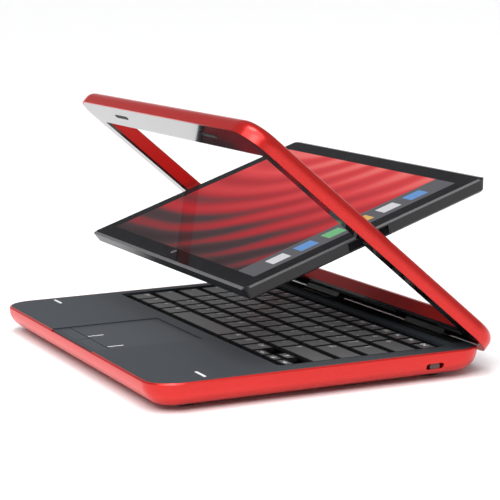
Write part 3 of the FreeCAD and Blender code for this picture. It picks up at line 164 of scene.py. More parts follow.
@dataclass(frozen=True)
class Finish:
    """Procedural surface: a colour broken up by fine grain, with matching roughness and bump."""

    name: str
    colour: Colour
    roughness: float
    variation: float = 0.12
    grain: float = 900.0
    bump: float = 0.02
    metallic: float = 0.0
    coat: float = 0.0
    coat_roughness: float = 0.06
    specular: float = 0.5
    edge_tint: Colour = (1.0, 1.0, 1.0)
    detail: Detail = Detail.EVEN

    def material(self) -> bpy.types.Material:
        """Build the material once.

        Returns:
            The material with this finish's name.
        """
        found = bpy.data.materials.get(self.name)
        if found is not None:
            return found
        material, shader = new_shader(self.name)
        tree = material.node_tree
        set_inputs(shader, {
            "Base Color": (*self.colour, 1.0),
            "Metallic": self.metallic,
            "Coat Weight": self.coat,
            "Coat Roughness": self.coat_roughness,
            "Specular IOR Level": self.specular,
            "Specular Tint": (*self.edge_tint, 1.0),
        })
        grain = self.grain_node(tree)
        low = tuple(part * (1.0 - self.variation) for part in self.colour)
        high = tuple(min(1.0, part * (1.0 + self.variation)) for part in self.colour)
        tones = new_ramp(tree, ((GRAIN_LOW, low), (GRAIN_HIGH, high)))
        spread = tree.nodes.new("ShaderNodeMapRange")
        set_inputs(spread, {
            "To Min": self.roughness * (1.0 - ROUGHNESS_SPREAD),
            "To Max": min(1.0, self.roughness * (1.0 + ROUGHNESS_SPREAD)),
        })
        bump = tree.nodes.new("ShaderNodeBump")
        set_inputs(bump, {"Strength": self.bump, "Distance": BUMP_DISTANCE})
        join(
            tree,
            (grain, "Fac", tones, "Fac"),
            (tones, "Color", shader, "Base Color"),
            (grain, "Fac", spread, "Value"),
            (spread, "Result", shader, "Roughness"),
            (grain, "Fac", bump, "Height"),
            (bump, "Normal", shader, "Normal"),
        )
        return material

    def grain_node(self, tree: bpy.types.NodeTree) -> bpy.types.ShaderNode:
        """Add the noise that breaks up the surface.

        Args:
            tree: Node tree of the material.

        Returns:
            Noise node whose factor is the grain, from 0 to 1.
        """
        place = tree.nodes.new("ShaderNodeTexCoord")
        stretch = tree.nodes.new("ShaderNodeMapping")
        set_inputs(stretch, {"Scale": self.detail.value})
        noise = tree.nodes.new("ShaderNodeTexNoise")
        set_inputs(noise, {"Scale": self.grain, "Detail": GRAIN_DETAIL})
        join(tree, (place, "Object", stretch, "Vector"), (stretch, "Vector", noise, "Vector"))
        return noise


# Each finish starts with its name, colour, roughness, variation, grain per metre and bump.
RED = Finish("red_satin", (0.53, 0.017, 0.014), 0.29, 0.05, 1400.0, 0.012, metallic=0.6, coat=0.45,
             coat_roughness=0.22, specular=0.25, edge_tint=(1.0, 0.3, 0.26))
DECK = Finish("slate_deck", (0.031, 0.037, 0.044), 0.48, 0.22, 2600.0, 0.07, specular=0.16,
              detail=Detail.ALONG_X)
PAD = Finish("slate_pad", (0.036, 0.042, 0.049), 0.45, 0.12, 2600.0, 0.03, specular=0.14)
KEY = Finish("grey_keys", (0.075, 0.075, 0.077), 0.42, 0.1, 2200.0, 0.04, specular=0.8)
# Near-black painted shade for the key walls and for the border round each key top.
KEY_SHADE = Finish("painted_key_shade", (0.005, 0.005, 0.006), 0.5, 0.15, 2200.0, 0.02, specular=0.06)
BLACK = Finish("black_satin", (0.01, 0.01, 0.011), 0.34, 0.2, 1500.0, 0.03, specular=0.3)
WELL = Finish("black_well", (0.005, 0.005, 0.006), 0.7, 0.25, 1500.0, 0.04, specular=0.08)
GLOSS = Finish("black_gloss", (0.006, 0.006, 0.008), 0.07, 0.2, 300.0, 0.0015, coat=0.3, coat_roughness=0.02)
GLASS = Finish("dark_glass", (0.011, 0.011, 0.012), 0.05, 0.2, 200.0, 0.001, specular=0.012)
RUBBER = Finish("soft_rubber", (0.02, 0.02, 0.021), 0.75, 0.25, 1800.0, 0.1)
STEEL = Finish("worn_steel", (0.48, 0.48, 0.5), 0.3, 0.1, 1600.0, 0.05, metallic=1.0, detail=Detail.ALONG_X)
COPPER = Finish("copper", (0.6, 0.28, 0.14), 0.32, 0.12, 900.0, 0.05, metallic=1.0, detail=Detail.ALONG_X)
BOARD = Finish("circuit_board", (0.02, 0.12, 0.05), 0.45, 0.5, 700.0, 0.06)
CELLS = Finish("battery_wrap", (0.03, 0.03, 0.035), 0.4, 0.2, 600.0, 0.05)
LEGEND = Finish("white_legend", (0.88, 0.88, 0.9), 0.5, 0.06, 1500.0, 0.0)
FAINT = Finish("red_legend", (0.55, 0.12, 0.1), 0.5, 0.06, 1500.0, 0.0)
TONGUE = Finish("socket_tongue", (0.6, 0.6, 0.58), 0.45, 0.08, 1200.0, 0.02)
GOLD = Finish("contact_gold", (0.7, 0.5, 0.18), 0.28, 0.08, 1200.0, 0.02, metallic=1.0)
LENS = Finish("camera_lens", (0.02, 0.025, 0.05), 0.05, 0.3, 400.0, 0.0, coat=1.0)
# Grey of the camera ring, also used as the pale painted highlight on the slab's bevel round the glass.
RING_AND_RIM_HIGHLIGHT = Finish("ring_grey_and_rim_highlight", (0.1, 0.1, 0.105), 0.25, 0.1, 800.0, 0.0, specular=0.4)
SMOKE = Finish("smoky_plastic", (0.085, 0.03, 0.028), 0.3, 0.15, 1500.0, 0.02, specular=0.4)
PALE = Finish("pale_rubber", (0.7, 0.71, 0.72), 0.6, 0.08, 1800.0, 0.05)
FLOOR = Finish("pale_floor", (0.96, 0.96, 0.96), 0.6, 0.01, 40.0, 0.0, specular=0.2)


@dataclass(frozen=True)
class Picture:
    """Lit display: warm sweeping bands beside a plain side bar."""

    bar_start: float
    name: str = "display_picture"
    strength: float = 1.1
    roughness: float = 0.06
    specular: float = 0.012
    glass_tone: Colour = (0.004, 0.004, 0.005)
    bar_tone: Colour = (0.1, 0.1, 0.11)
    ring_shift: Place = (-0.15, -1.25, 0.0)
    ring_stretch: Size = (1.7, 1.0, 1.0)
    ring_scale: float = 1.5
    ring_bend: float = 1.6
    ring_detail: float = 1.0
    ring_share: float = 0.35
    sweep_share: float = 0.75
    stops: Stops = (
        (0.0, (0.03, 0.018, 0.019)),
        (0.22, (0.06, 0.03, 0.032)),
        (0.45, (0.36, 0.018, 0.024)),
        (0.8, (0.62, 0.045, 0.05)),
        (1.0, (0.74, 0.14, 0.13)),
    )

    def material(self) -> bpy.types.Material:
        """Build the lit display on its flat coordinates.

        Returns:
            The display's material.
        """
        material, shader = new_shader(self.name)
        tree = material.node_tree
        set_inputs(shader, {
            "Base Color": (*self.glass_tone, 1.0),
            "Roughness": self.roughness,
            "Specular IOR Level": self.specular,
            "Emission Strength": self.strength,
        })
        place = tree.nodes.new("ShaderNodeTexCoord")
        split = tree.nodes.new("ShaderNodeSeparateXYZ")
        bands = self.band_ramp(tree, place, split)
        bar = tree.nodes.new("ShaderNodeMath")
        bar.operation = "GREATER_THAN"
        bar.inputs[1].default_value = self.bar_start
        mix = tree.nodes.new("ShaderNodeMix")
        mix.data_type = "RGBA"
        mix.inputs["B"].default_value = (*self.bar_tone, 1.0)
        join(
            tree,
            (place, "UV", split, "Vector"),
            (split, "X", bar, 0),
            (bar, "Value", mix, "Factor"),
            (bands, "Color", mix, "A"),
            (mix, "Result", shader, "Emission Color"),
        )
        return material

    def band_ramp(
        self,
        tree: bpy.types.NodeTree,
        place: bpy.types.ShaderNode,
        split: bpy.types.ShaderNode,
    ) -> bpy.types.ShaderNode:
        """Mix wide ring bands with a sweep from dark to bright.

        Args:
            tree: Node tree of the material.
            place: Node with the flat coordinates.
            split: Node that splits them into shares of the width and the height.

        Returns:
            Ramp node with the band colour.
        """
        move = tree.nodes.new("ShaderNodeMapping")
        set_inputs(move, {"Location": self.ring_shift, "Scale": self.ring_stretch})
        wave = tree.nodes.new("ShaderNodeTexWave")
        wave.wave_type = "RINGS"
        wave.rings_direction = "Z"
        set_inputs(wave, {"Scale": self.ring_scale, "Distortion": self.ring_bend, "Detail": self.ring_detail})
        weigh = tree.nodes.new("ShaderNodeMath")
        weigh.operation = "MULTIPLY_ADD"
        weigh.inputs[1].default_value = self.ring_share
        scale = tree.nodes.new("ShaderNodeMath")
        scale.operation = "MULTIPLY"
        scale.inputs[1].default_value = self.sweep_share
        ramp = new_ramp(tree, self.stops)
        join(
            tree,
            (place, "UV", move, "Vector"),
            (move, "Vector", wave, "Vector"),
            (wave, "Fac", weigh, 0),
            (split, "Y", weigh, 2),
            (weigh, "Value", scale, 0),
            (scale, "Value", ramp, "Fac"),
        )
        return ramp


@dataclass(frozen=True)
class TilePaint:
    """Lit tiles whose colour changes from one tile to the next."""

    first_edge: float
    last_edge: float
    count: int
    name: str = "display_tiles"
    strength: float = 0.8
    roughness: float = 0.08
    glass_tone: Colour = (0.01, 0.01, 0.01)
    tones: tuple[Colour, ...] = (
        (0.1, 0.3, 0.7),
        (0.75, 0.75, 0.78),
        (0.8, 0.45, 0.08),
        (0.15, 0.5, 0.2),
    )

    def material(self) -> bpy.types.Material:
        """Build a material that picks a tone by place.

        Returns:
            The tiles' material.
        """
        material, shader = new_shader(self.name)
        tree = material.node_tree
        set_inputs(shader, {
            "Base Color": (*self.glass_tone, 1.0),
            "Roughness": self.roughness,
            "Emission Strength": self.strength,
        })
        place = tree.nodes.new("ShaderNodeTexCoord")
        split = tree.nodes.new("ShaderNodeSeparateXYZ")
        share = tree.nodes.new("ShaderNodeMapRange")
        set_inputs(share, {"From Min": self.first_edge, "From Max": self.last_edge})
        steps = [(tile / self.count, self.tones[tile % len(self.tones)]) for tile in range(self.count)]
        ramp = new_ramp(tree, tuple(steps))
        ramp.color_ramp.interpolation = "CONSTANT"
        join(
            tree,
            (place, "Object", split, "Vector"),
            (split, "Y", share, "Value"),
            (share, "Result", ramp, "Fac"),
            (ramp, "Color", shader, "Emission Color"),
        )
        return material


@dataclass
class RowMaker:
    """Geometry node tree that sets equal blocks out along a line."""

    name: str = "row_of_blocks"
    tree: bpy.types.NodeTree | None = None
    sockets: dict[str, str] = field(default_factory=dict)

    def group(self) -> bpy.types.NodeTree:
        """Build the node tree once.

        Returns:
            The geometry node tree.
        """
        if self.tree is not None:
            return self.tree
        tree = bpy.data.node_groups.new(self.name, "GeometryNodeTree")
        kinds = {
            "Count": "NodeSocketInt",
            "Start": "NodeSocketVector",
            "Step": "NodeSocketVector",
            "Size": "NodeSocketVector",
            "Turn": "NodeSocketVector",
            "Finish": "NodeSocketMaterial",
        }
        for label, kind in kinds.items():
            socket = tree.interface.new_socket(label, in_out="INPUT", socket_type=kind)
            self.sockets[label] = socket.identifier
        tree.interface.new_socket("Geometry", in_out="OUTPUT", socket_type="NodeSocketGeometry")
        source = tree.nodes.new("NodeGroupInput")
        target = tree.nodes.new("NodeGroupOutput")
        line = tree.nodes.new("GeometryNodeMeshLine")
        block = tree.nodes.new("GeometryNodeMeshCube")
        place = tree.nodes.new("GeometryNodeInstanceOnPoints")
        real = tree.nodes.new("GeometryNodeRealizeInstances")
        cover = tree.nodes.new("GeometryNodeSetMaterial")
        join(
            tree,
            (source, "Count", line, "Count"),
            (source, "Start", line, "Start Location"),
            (source, "Step", line, "Offset"),
            (source, "Size", block, "Size"),
            (source, "Turn", place, "Rotation"),
            (line, "Mesh", place, "Points"),
            (block, "Mesh", place, "Instance"),
            (place, "Instances", real, "Geometry"),
            (real, "Geometry", cover, "Geometry"),
            (source, "Finish", cover, "Material"),
            (cover, "Geometry", target, "Geometry"),
        )
        self.tree = tree
        return tree

    def make(
        self,
        name: str,
        count: int,
        start: Vector,
        step: Vector,
        size: Vector,
        material: bpy.types.Material,
        turn: Vector | None = None,
    ) -> bpy.types.Object:
        """Make one row as a plain mesh.

        Args:
            name: Name of the new piece.
            count: How many blocks.
            start: Middle of the first block.
            step: From one block to the next.
            size: Size of one block.
            material: Material of the blocks.
            turn: Turn of each block, in radians about X, Y and Z.

        Returns:
            The finished mesh object.
        """
        carrier = new_object(name + "_carrier", bpy.data.meshes.new(name + "_carrier"))
        modifier = carrier.modifiers.new("rows", "NODES")
        modifier.node_group = self.group()
        values = {
            "Count": count,
            "Start": start,
            "Step": step,
            "Size": size,
            "Turn": turn or ZERO,
            "Finish": material,
        }
        for label, value in values.items():
            modifier[self.sockets[label]] = value
        mesh = evaluated_mesh(carrier)
        carrier.modifiers.remove(modifier)
        bpy.data.objects.remove(carrier)
        return new_object(name, mesh)


def new_object(name: str, data: bpy.types.ID | None) -> bpy.types.Object:
    """Link a new object into the scene.

    Args:
        name: Name of the object.
        data: Its mesh, curve, light or camera.

    Returns:
        The new object, at the origin.
    """
    thing = bpy.data.objects.new(name, data)
    bpy.context.scene.collection.objects.link(thing)
    return thing


def evaluated_mesh(carrier: bpy.types.Object) -> bpy.types.Mesh:
    """Turn an object, as its modifiers or its curve shape it, into a plain mesh."""
    bpy.context.view_layer.update()
    return bpy.data.meshes.new_from_object(carrier.evaluated_get(bpy.context.evaluated_depsgraph_get()))


def solid_points(node: bpy.types.Object) -> list[list[Vector]]:
    """Sort the corners of a CAD node by the separate solid that they belong to.

    Args:
        node: CAD node.

    Returns:
        Corners of every solid.
    """
    work = bmesh.new()
    work.from_mesh(node.data)
    bmesh.ops.remove_doubles(work, verts=work.verts, dist=WELD_DISTANCE)
    left = set(work.verts)
    solids = []
    while left:
        stack = [left.pop()]
        corners = []
        while stack:
            vertex = stack.pop()
            corners.append(vertex.co.copy())
            for edge in vertex.link_edges:
                other = edge.other_vert(vertex)
                if other in left:
                    left.remove(other)
                    stack.append(other)
        solids.append(corners)
    work.free()
    return solids


def box_of(points: list[Vector]) -> Box:
    """Find the lowest and the highest corner of the box round some points."""
    sides = list(zip(*points))
    return Vector([min(side) for side in sides]), Vector([max(side) for side in sides])


def solids_of(node: bpy.types.Object) -> list[Box]:
    """Find the box of each separate solid in a CAD node, from left to right."""
    return sorted((box_of(points) for points in solid_points(node)), key=lambda pair: pair[0].x + pair[1].x)


def tops_of(node: bpy.types.Object) -> list[Box]:
    """Find the box of the top face of each separate solid in a CAD node.

    Args:
        node: CAD node.

    Returns:
        Lowest and highest corner of every top face.
    """
    tops = []
    for points in solid_points(node):
        level = max(point.z for point in points) - TOP_DEPTH
        tops.append(box_of([point for point in points if point.z > level]))
    return tops


def flat_rectangle(low: Vector, high: Vector, inset: float, level: float) -> Polygon:
    """List the corners of a level rectangle, anticlockwise from above.

    Args:
        low: Lowest corner of the box that it fills.
        high: Highest corner of that box.
        inset: How far inside the box it lies.
        level: Its height.

    Returns:
        The four corners.
    """
    left, right = low.x + inset, high.x - inset
    front, back = low.y + inset, high.y - inset
    flat = [(left, front), (right, front), (right, back), (left, back)]
    return [Vector((x, y, level)) for x, y in flat]


def ring_strips(outer: Polygon, inner: Polygon) -> list[Polygon]:
    """Fill the ring between two outlines that have the same number of corners."""
    return [[outer[place - 1], outer[place], inner[place], inner[place - 1]] for place in range(len(outer))]


def plate_mesh(
    name: str,
    polygons: list[Polygon],
    depth: float,
    place: Matrix | None = None,
) -> bpy.types.Mesh:
    """Make thin closed plates whose tops are flat polygons.

    Args:
        name: Name of the mesh.
        polygons: Corners of each polygon.
        depth: How far the plates reach down from the polygons.
        place: Where the finished plates go.

    Returns:
        The new mesh.
    """
    work = bmesh.new()
    for polygon in polygons:
        work.faces.new([work.verts.new(point) for point in polygon])
    bmesh.ops.remove_doubles(work, verts=work.verts, dist=MERGE_DISTANCE)
    work.normal_update()
    for face in work.faces:
        if face.normal.z < 0.0:
            face.normal_flip()
    drop = Vector((0.0, 0.0, -depth))
    tops = [list(face.verts) for face in work.faces]
    rims = [edge.link_loops[0] for edge in work.edges if edge.is_boundary]
    walls = [(loop.link_loop_next.vert, loop.vert) for loop in rims]
    lower = {vertex: work.verts.new(vertex.co + drop) for vertex in list(work.verts)}
    for corners in tops:
        work.faces.new([lower[vertex] for vertex in reversed(corners)])
    for start, end in walls:
        work.faces.new([start, end, lower[end], lower[start]])
    if place is not None:
        work.transform(place)
    return finished_mesh(name, work)


def turned_mesh(name: str, profile: Profile, place: Matrix, sides: int = 24) -> bpy.types.Mesh:
    """Turn a profile about an axis, as on a lathe.

    Args:
        name: Name of the mesh.
        profile: Places along the axis and radii there, from end to end; both ends lie on the axis.
        place: Where the finished shape goes; the axis starts as Z.
        sides: How many steps make a full turn.

    Returns:
        The new mesh.
    """
    work = bmesh.new()
    line = [work.verts.new((radius, 0.0, along)) for along, radius in profile]
    edges = [work.edges.new(pair) for pair in zip(line, line[1:])]
    bmesh.ops.spin(work, geom=line + edges, cent=(0.0, 0.0, 0.0), axis=(0.0, 0.0, 1.0), angle=2 * math.pi,
                   steps=sides, use_merge=True)
    bmesh.ops.remove_doubles(work, verts=work.verts, dist=MERGE_DISTANCE)
    bmesh.ops.recalc_face_normals(work, faces=work.faces)
    work.transform(place)
    mesh = finished_mesh(name, work)
    mesh.shade_smooth()
    return mesh


def finished_mesh(name: str, work: bmesh.types.BMesh) -> bpy.types.Mesh:
    """Write worked geometry to a new mesh and let go of it.

    Args:
        name: Name of the mesh.
        work: The geometry.

    Returns:
        The new mesh.
    """
    mesh = bpy.data.meshes.new(name)
    work.to_mesh(mesh)
    work.free()
    return mesh


def paint(frame: dict, finishes: dict[str, Finish]) -> None:
    """Put finishes on CAD nodes.

    Args:
        finishes: Finish of each CAD node, by its name.
    """
    for name, finish in finishes.items():
        mesh = frame["nodes"][name].data
        mesh.materials.clear()
        mesh.materials.append(finish.material())
        LOG.info("%s is finished in %s", name, finish.name)


def dress(piece: bpy.types.Object, body: str, material: bpy.types.Material | None = None) -> None:
    """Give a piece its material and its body.

    Args:
        piece: The piece.
        body: CAD body that it moves with.
        material: Material to put on the whole piece.
    """
    if material is not None:
        piece.data.materials.clear()
        piece.data.materials.append(material)
    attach(piece, body)
    LOG.info("%s rides on %s", piece.name, body)


@dataclass
class Pose:
    """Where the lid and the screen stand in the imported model; angles are in degrees."""

    screen_pivot: Vector
    lid_angle: float = 42.3
    screen_angle: float = 60.912

    def screen_matrix(self) -> Matrix:
        """Place a flat drawing, centred on the origin and facing up, on the screen as it stands."""
        turn = Matrix.Rotation(math.radians(self.screen_angle - self.lid_angle), 4, "X")
        return Matrix.Translation(self.screen_pivot) @ turn


@dataclass
class Legends:
    """Signs on the key tops."""

    size: float = 0.0042
    word_size: float = 0.0029
    arrow_size: float = 0.004
    dot_size: float = 0.0022
    lift: float = 0.00004
    margin: float = 0.0021
    capital_share: float = 0.7
    boldness: float = 0.03
    curve_steps: int = 2

    def letter(self, text: str, size: float) -> list[Polygon]:
        """Turn a short text into flat polygons with its lower left corner at the origin.

        Args:
            text: Text to draw.
            size: Height of a capital, in metres.

        Returns:
            Polygons that make up the text.
        """
        curve = bpy.data.curves.new("legend_text", "FONT")
        curve.body = text
        curve.size = size / self.capital_share
        curve.offset = size * self.boldness
        curve.resolution_u = self.curve_steps
        carrier = new_object("legend_text", curve)
        mesh = evaluated_mesh(carrier)
        polygons = [[mesh.vertices[index].co.copy() for index in face.vertices] for face in mesh.polygons]
        bpy.data.objects.remove(carrier)
        bpy.data.meshes.remove(mesh)
        return polygons

    def glyph(self, sign: Glyph, size: float) -> list[Polygon]:
        """Draw a sign as flat polygons with its lower left corner at the origin.

        Args:
            sign: Which sign.
            size: Height and width of the sign.

        Returns:
            Polygons that make up the sign, drawn in a square of size 1 and then scaled.
        """
        turns = [step * math.pi / 6 for step in range(12)]
        arrow = [
            [(0, 0.5), (0.5, 0.1), (0.5, 0.9)],
            [(0.5, 0.42), (1, 0.42), (1, 0.58), (0.5, 0.58)],
        ]
        shapes = {
            Glyph.LEFT: arrow,
            Glyph.RIGHT: [[(1 - x, 1 - y) for x, y in shape] for shape in arrow],
            Glyph.UP: [[(y, 1 - x) for x, y in shape] for shape in arrow],
            Glyph.DOWN: [[(1 - y, x) for x, y in shape] for shape in arrow],
            Glyph.RETURN: [
                [(0, 0.35), (0.4, 0), (0.4, 0.7)],
                [(0.4, 0.27), (1, 0.27), (1, 0.95), (0.84, 0.95), (0.84, 0.43), (0.4, 0.43)],
            ],
            Glyph.TAB: [
                [(0.85, 0.5), (0.4, 0.85), (0.4, 0.15)],
                [(0, 0.42), (0.4, 0.42), (0.4, 0.58), (0, 0.58)],
                [(0.87, 0.1), (1, 0.1), (1, 0.9), (0.87, 0.9)],
            ],
            Glyph.DOT: [[(0.5 + 0.3 * math.cos(turn), 0.5 + 0.3 * math.sin(turn)) for turn in turns]],
            Glyph.LINES: [
                [(0, low), (1, low), (1, low + 0.14), (0, low + 0.14)] for low in (0.1, 0.42, 0.74)
            ],
        }
        return [[Vector((x * size, y * size, 0.0)) for x, y in shape] for shape in shapes[sign]]

    def place(self, box: Box, mark: str | Glyph, size: float, spot: Spot) -> list[Polygon]:
        """Put one mark on a key top.

        Args:
            box: Box of the key.
            mark: Text or sign.
            size: Height of the mark.
            spot: Where on the key it lies.

        Returns:
            Polygons just above the key top.
        """
        low, high = box
        drawn = self.glyph(mark, size) if isinstance(mark, Glyph) else self.letter(mark, size)
        width = max(point.x for polygon in drawn for point in polygon)
        room_x = high.x - low.x - 2 * self.margin - width
        room_y = high.y - low.y - 2 * self.margin - size
        share_x, share_y = spot.value
        x = low.x + self.margin + room_x * share_x
        y = low.y + self.margin + room_y * share_y
        move = Vector((x, y, high.z + self.lift))
        return [[point + move for point in polygon] for polygon in drawn]


@dataclass
class Keyboard:
    """Keys and the signs on them."""

    frame: dict
    blocks: RowMaker
    shade_width: float = 0.0008
    shade_lift: float = 0.00002
    top_slope: float = 0.9
    homing_letters: tuple[str, str] = ("F", "J")
    homing_inset: float = 0.0032
    homing_size: Size = (0.0032, 0.0006, 0.0003)
    legends: Legends = field(default_factory=Legends)
    rows: dict[str, list[str]] = field(default_factory=lambda: {
        "number_keys": list("`1234567890-="),
        "upper_letter_keys": list("QWERTYUIOP[]\\"),
        "home_letter_keys": list("ASDFGHJKL;'"),
        "lower_letter_keys": list("ZXCVBNM,./"),
        "function_keys": ["Esc"] + ["F%d" % number for number in range(1, 13)] + ["Ins", "Prt", "Del"],
    })
    second_marks: dict[str, Finish] = field(default_factory=lambda: {
        "number_keys": LEGEND,
        "function_keys": FAINT,
    })
    singles: dict[str, str | Glyph] = field(default_factory=lambda: {
        "left_control_key": "Ctrl",
        "right_control_key": "Ctrl",
        "fn_key": "Fn",
        "start_key": Glyph.DOT,
        "left_alt_key": "Alt",
        "right_alt_key": "Alt",
        "menu_key": Glyph.LINES,
        "left_shift_key": Glyph.UP,
        "right_shift_key": Glyph.UP,
        "caps_key": Glyph.DOT,
        "tab_key": Glyph.TAB,
        "enter_key": Glyph.RETURN,
        "backspace_key": Glyph.LEFT,
        "left_arrow_key": Glyph.LEFT,
        "right_arrow_key": Glyph.RIGHT,
        "up_arrow_key": Glyph.UP,
        "down_arrow_key": Glyph.DOWN,
    })

    def build(self) -> None:
        """Paint the keys and add their signs."""
        names = [*self.rows, *self.singles, "space_bar"]
        paint(self.frame, dict.fromkeys(names, KEY))
        # Key walls and the border round each key top get painted shade.
        for name in names:
            self.paint_wall_shade(name)
            self.add_edges(name)
        for name, marks in self.rows.items():
            self.mark_row(name, marks)
        for name, mark in self.singles.items():
            self.mark_single(name, mark)
        self.add_homing_bars()

    def paint_wall_shade(self, name: str) -> None:
        """Leave the grey finish only on the key tops, and give the walls near-black painted shade.

        Args:
            name: CAD node of the keys.
        """
        mesh = self.frame["nodes"][name].data
        mesh.materials.append(KEY_SHADE.material())
        for face in mesh.polygons:
            face.material_index = 0 if face.normal.z > self.top_slope else 1

    def add_edges(self, name: str) -> None:
        """Lay a dark border of painted shade round the top of each key, where its rounded edge falls into
        shade.

        Args:
            name: CAD node of the keys.
        """
        polygons = []
        for low, high in tops_of(self.frame["nodes"][name]):
            level = high.z + self.shade_lift
            outer = flat_rectangle(low, high, 0.0, level)
            inner = flat_rectangle(low, high, self.shade_width, level)
            polygons += ring_strips(outer, inner)
        piece = new_object(name + "_edges", plate_mesh(name + "_edges", polygons, PRINT_DEPTH))
        dress(piece, name + "_body", KEY_SHADE.material())

    def mark_row(self, name: str, marks: list[str]) -> None:
        """Add the letters of one row of keys, and the row's second marks where it has them.

        Args:
            name: CAD node of the row.
            marks: One text for each key, from left to right.
        """
        boxes = solids_of(self.frame["nodes"][name])
        polygons = []
        for box, mark in zip(boxes, marks):
            size = self.legends.size if len(mark) == 1 else self.legends.word_size
            polygons += self.legends.place(box, mark, size, Spot.TOP_LEFT)
        self.add_signs(name, polygons, LEGEND)
        if name in self.second_marks:
            dots = []
            for box in boxes:
                dots += self.legends.place(box, Glyph.DOT, self.legends.dot_size, Spot.LOWER_RIGHT)
            self.add_signs(name, dots, self.second_marks[name], "_second")

    def mark_single(self, name: str, mark: str | Glyph) -> None:
        """Add the sign of a key that moves alone.

        Args:
            name: CAD node of the key.
            mark: Text or sign.
        """
        box = solids_of(self.frame["nodes"][name])[0]
        spot = Spot.TOP_LEFT
        size = self.legends.word_size if isinstance(mark, str) else self.legends.size
        if name.endswith("arrow_key"):
            spot = Spot.CENTRE
            size = self.legends.arrow_size
        self.add_signs(name, self.legends.place(box, mark, size, spot), LEGEND)

    def add_signs(self, name: str, polygons: list[Polygon], finish: Finish, extra: str = "") -> None:
        """Make one mesh of signs that rides on its key.

        Args:
            name: CAD node of the key.
            polygons: The signs.
            finish: Their finish.
            extra: Ending for the piece's name.
        """
        full_name = name + "_legend" + extra
        piece = new_object(full_name, plate_mesh(full_name, polygons, PRINT_DEPTH))
        dress(piece, name + "_body", finish.material())

    def add_homing_bars(self) -> None:
        """Add the raised bars on the two resting keys."""
        letters = self.rows["home_letter_keys"]
        keys = solids_of(self.frame["nodes"]["home_letter_keys"])
        boxes = [keys[letters.index(letter)] for letter in self.homing_letters]
        low, high = boxes[0]
        start = Vector(((low.x + high.x) / 2, low.y + self.homing_inset, high.z))
        step = Vector((boxes[1][0].x - low.x, 0.0, 0.0))
        size = Vector(self.homing_size)
        piece = self.blocks.make("homing_bars", len(boxes), start, step, size, KEY.material())
        dress(piece, "home_letter_keys_body")


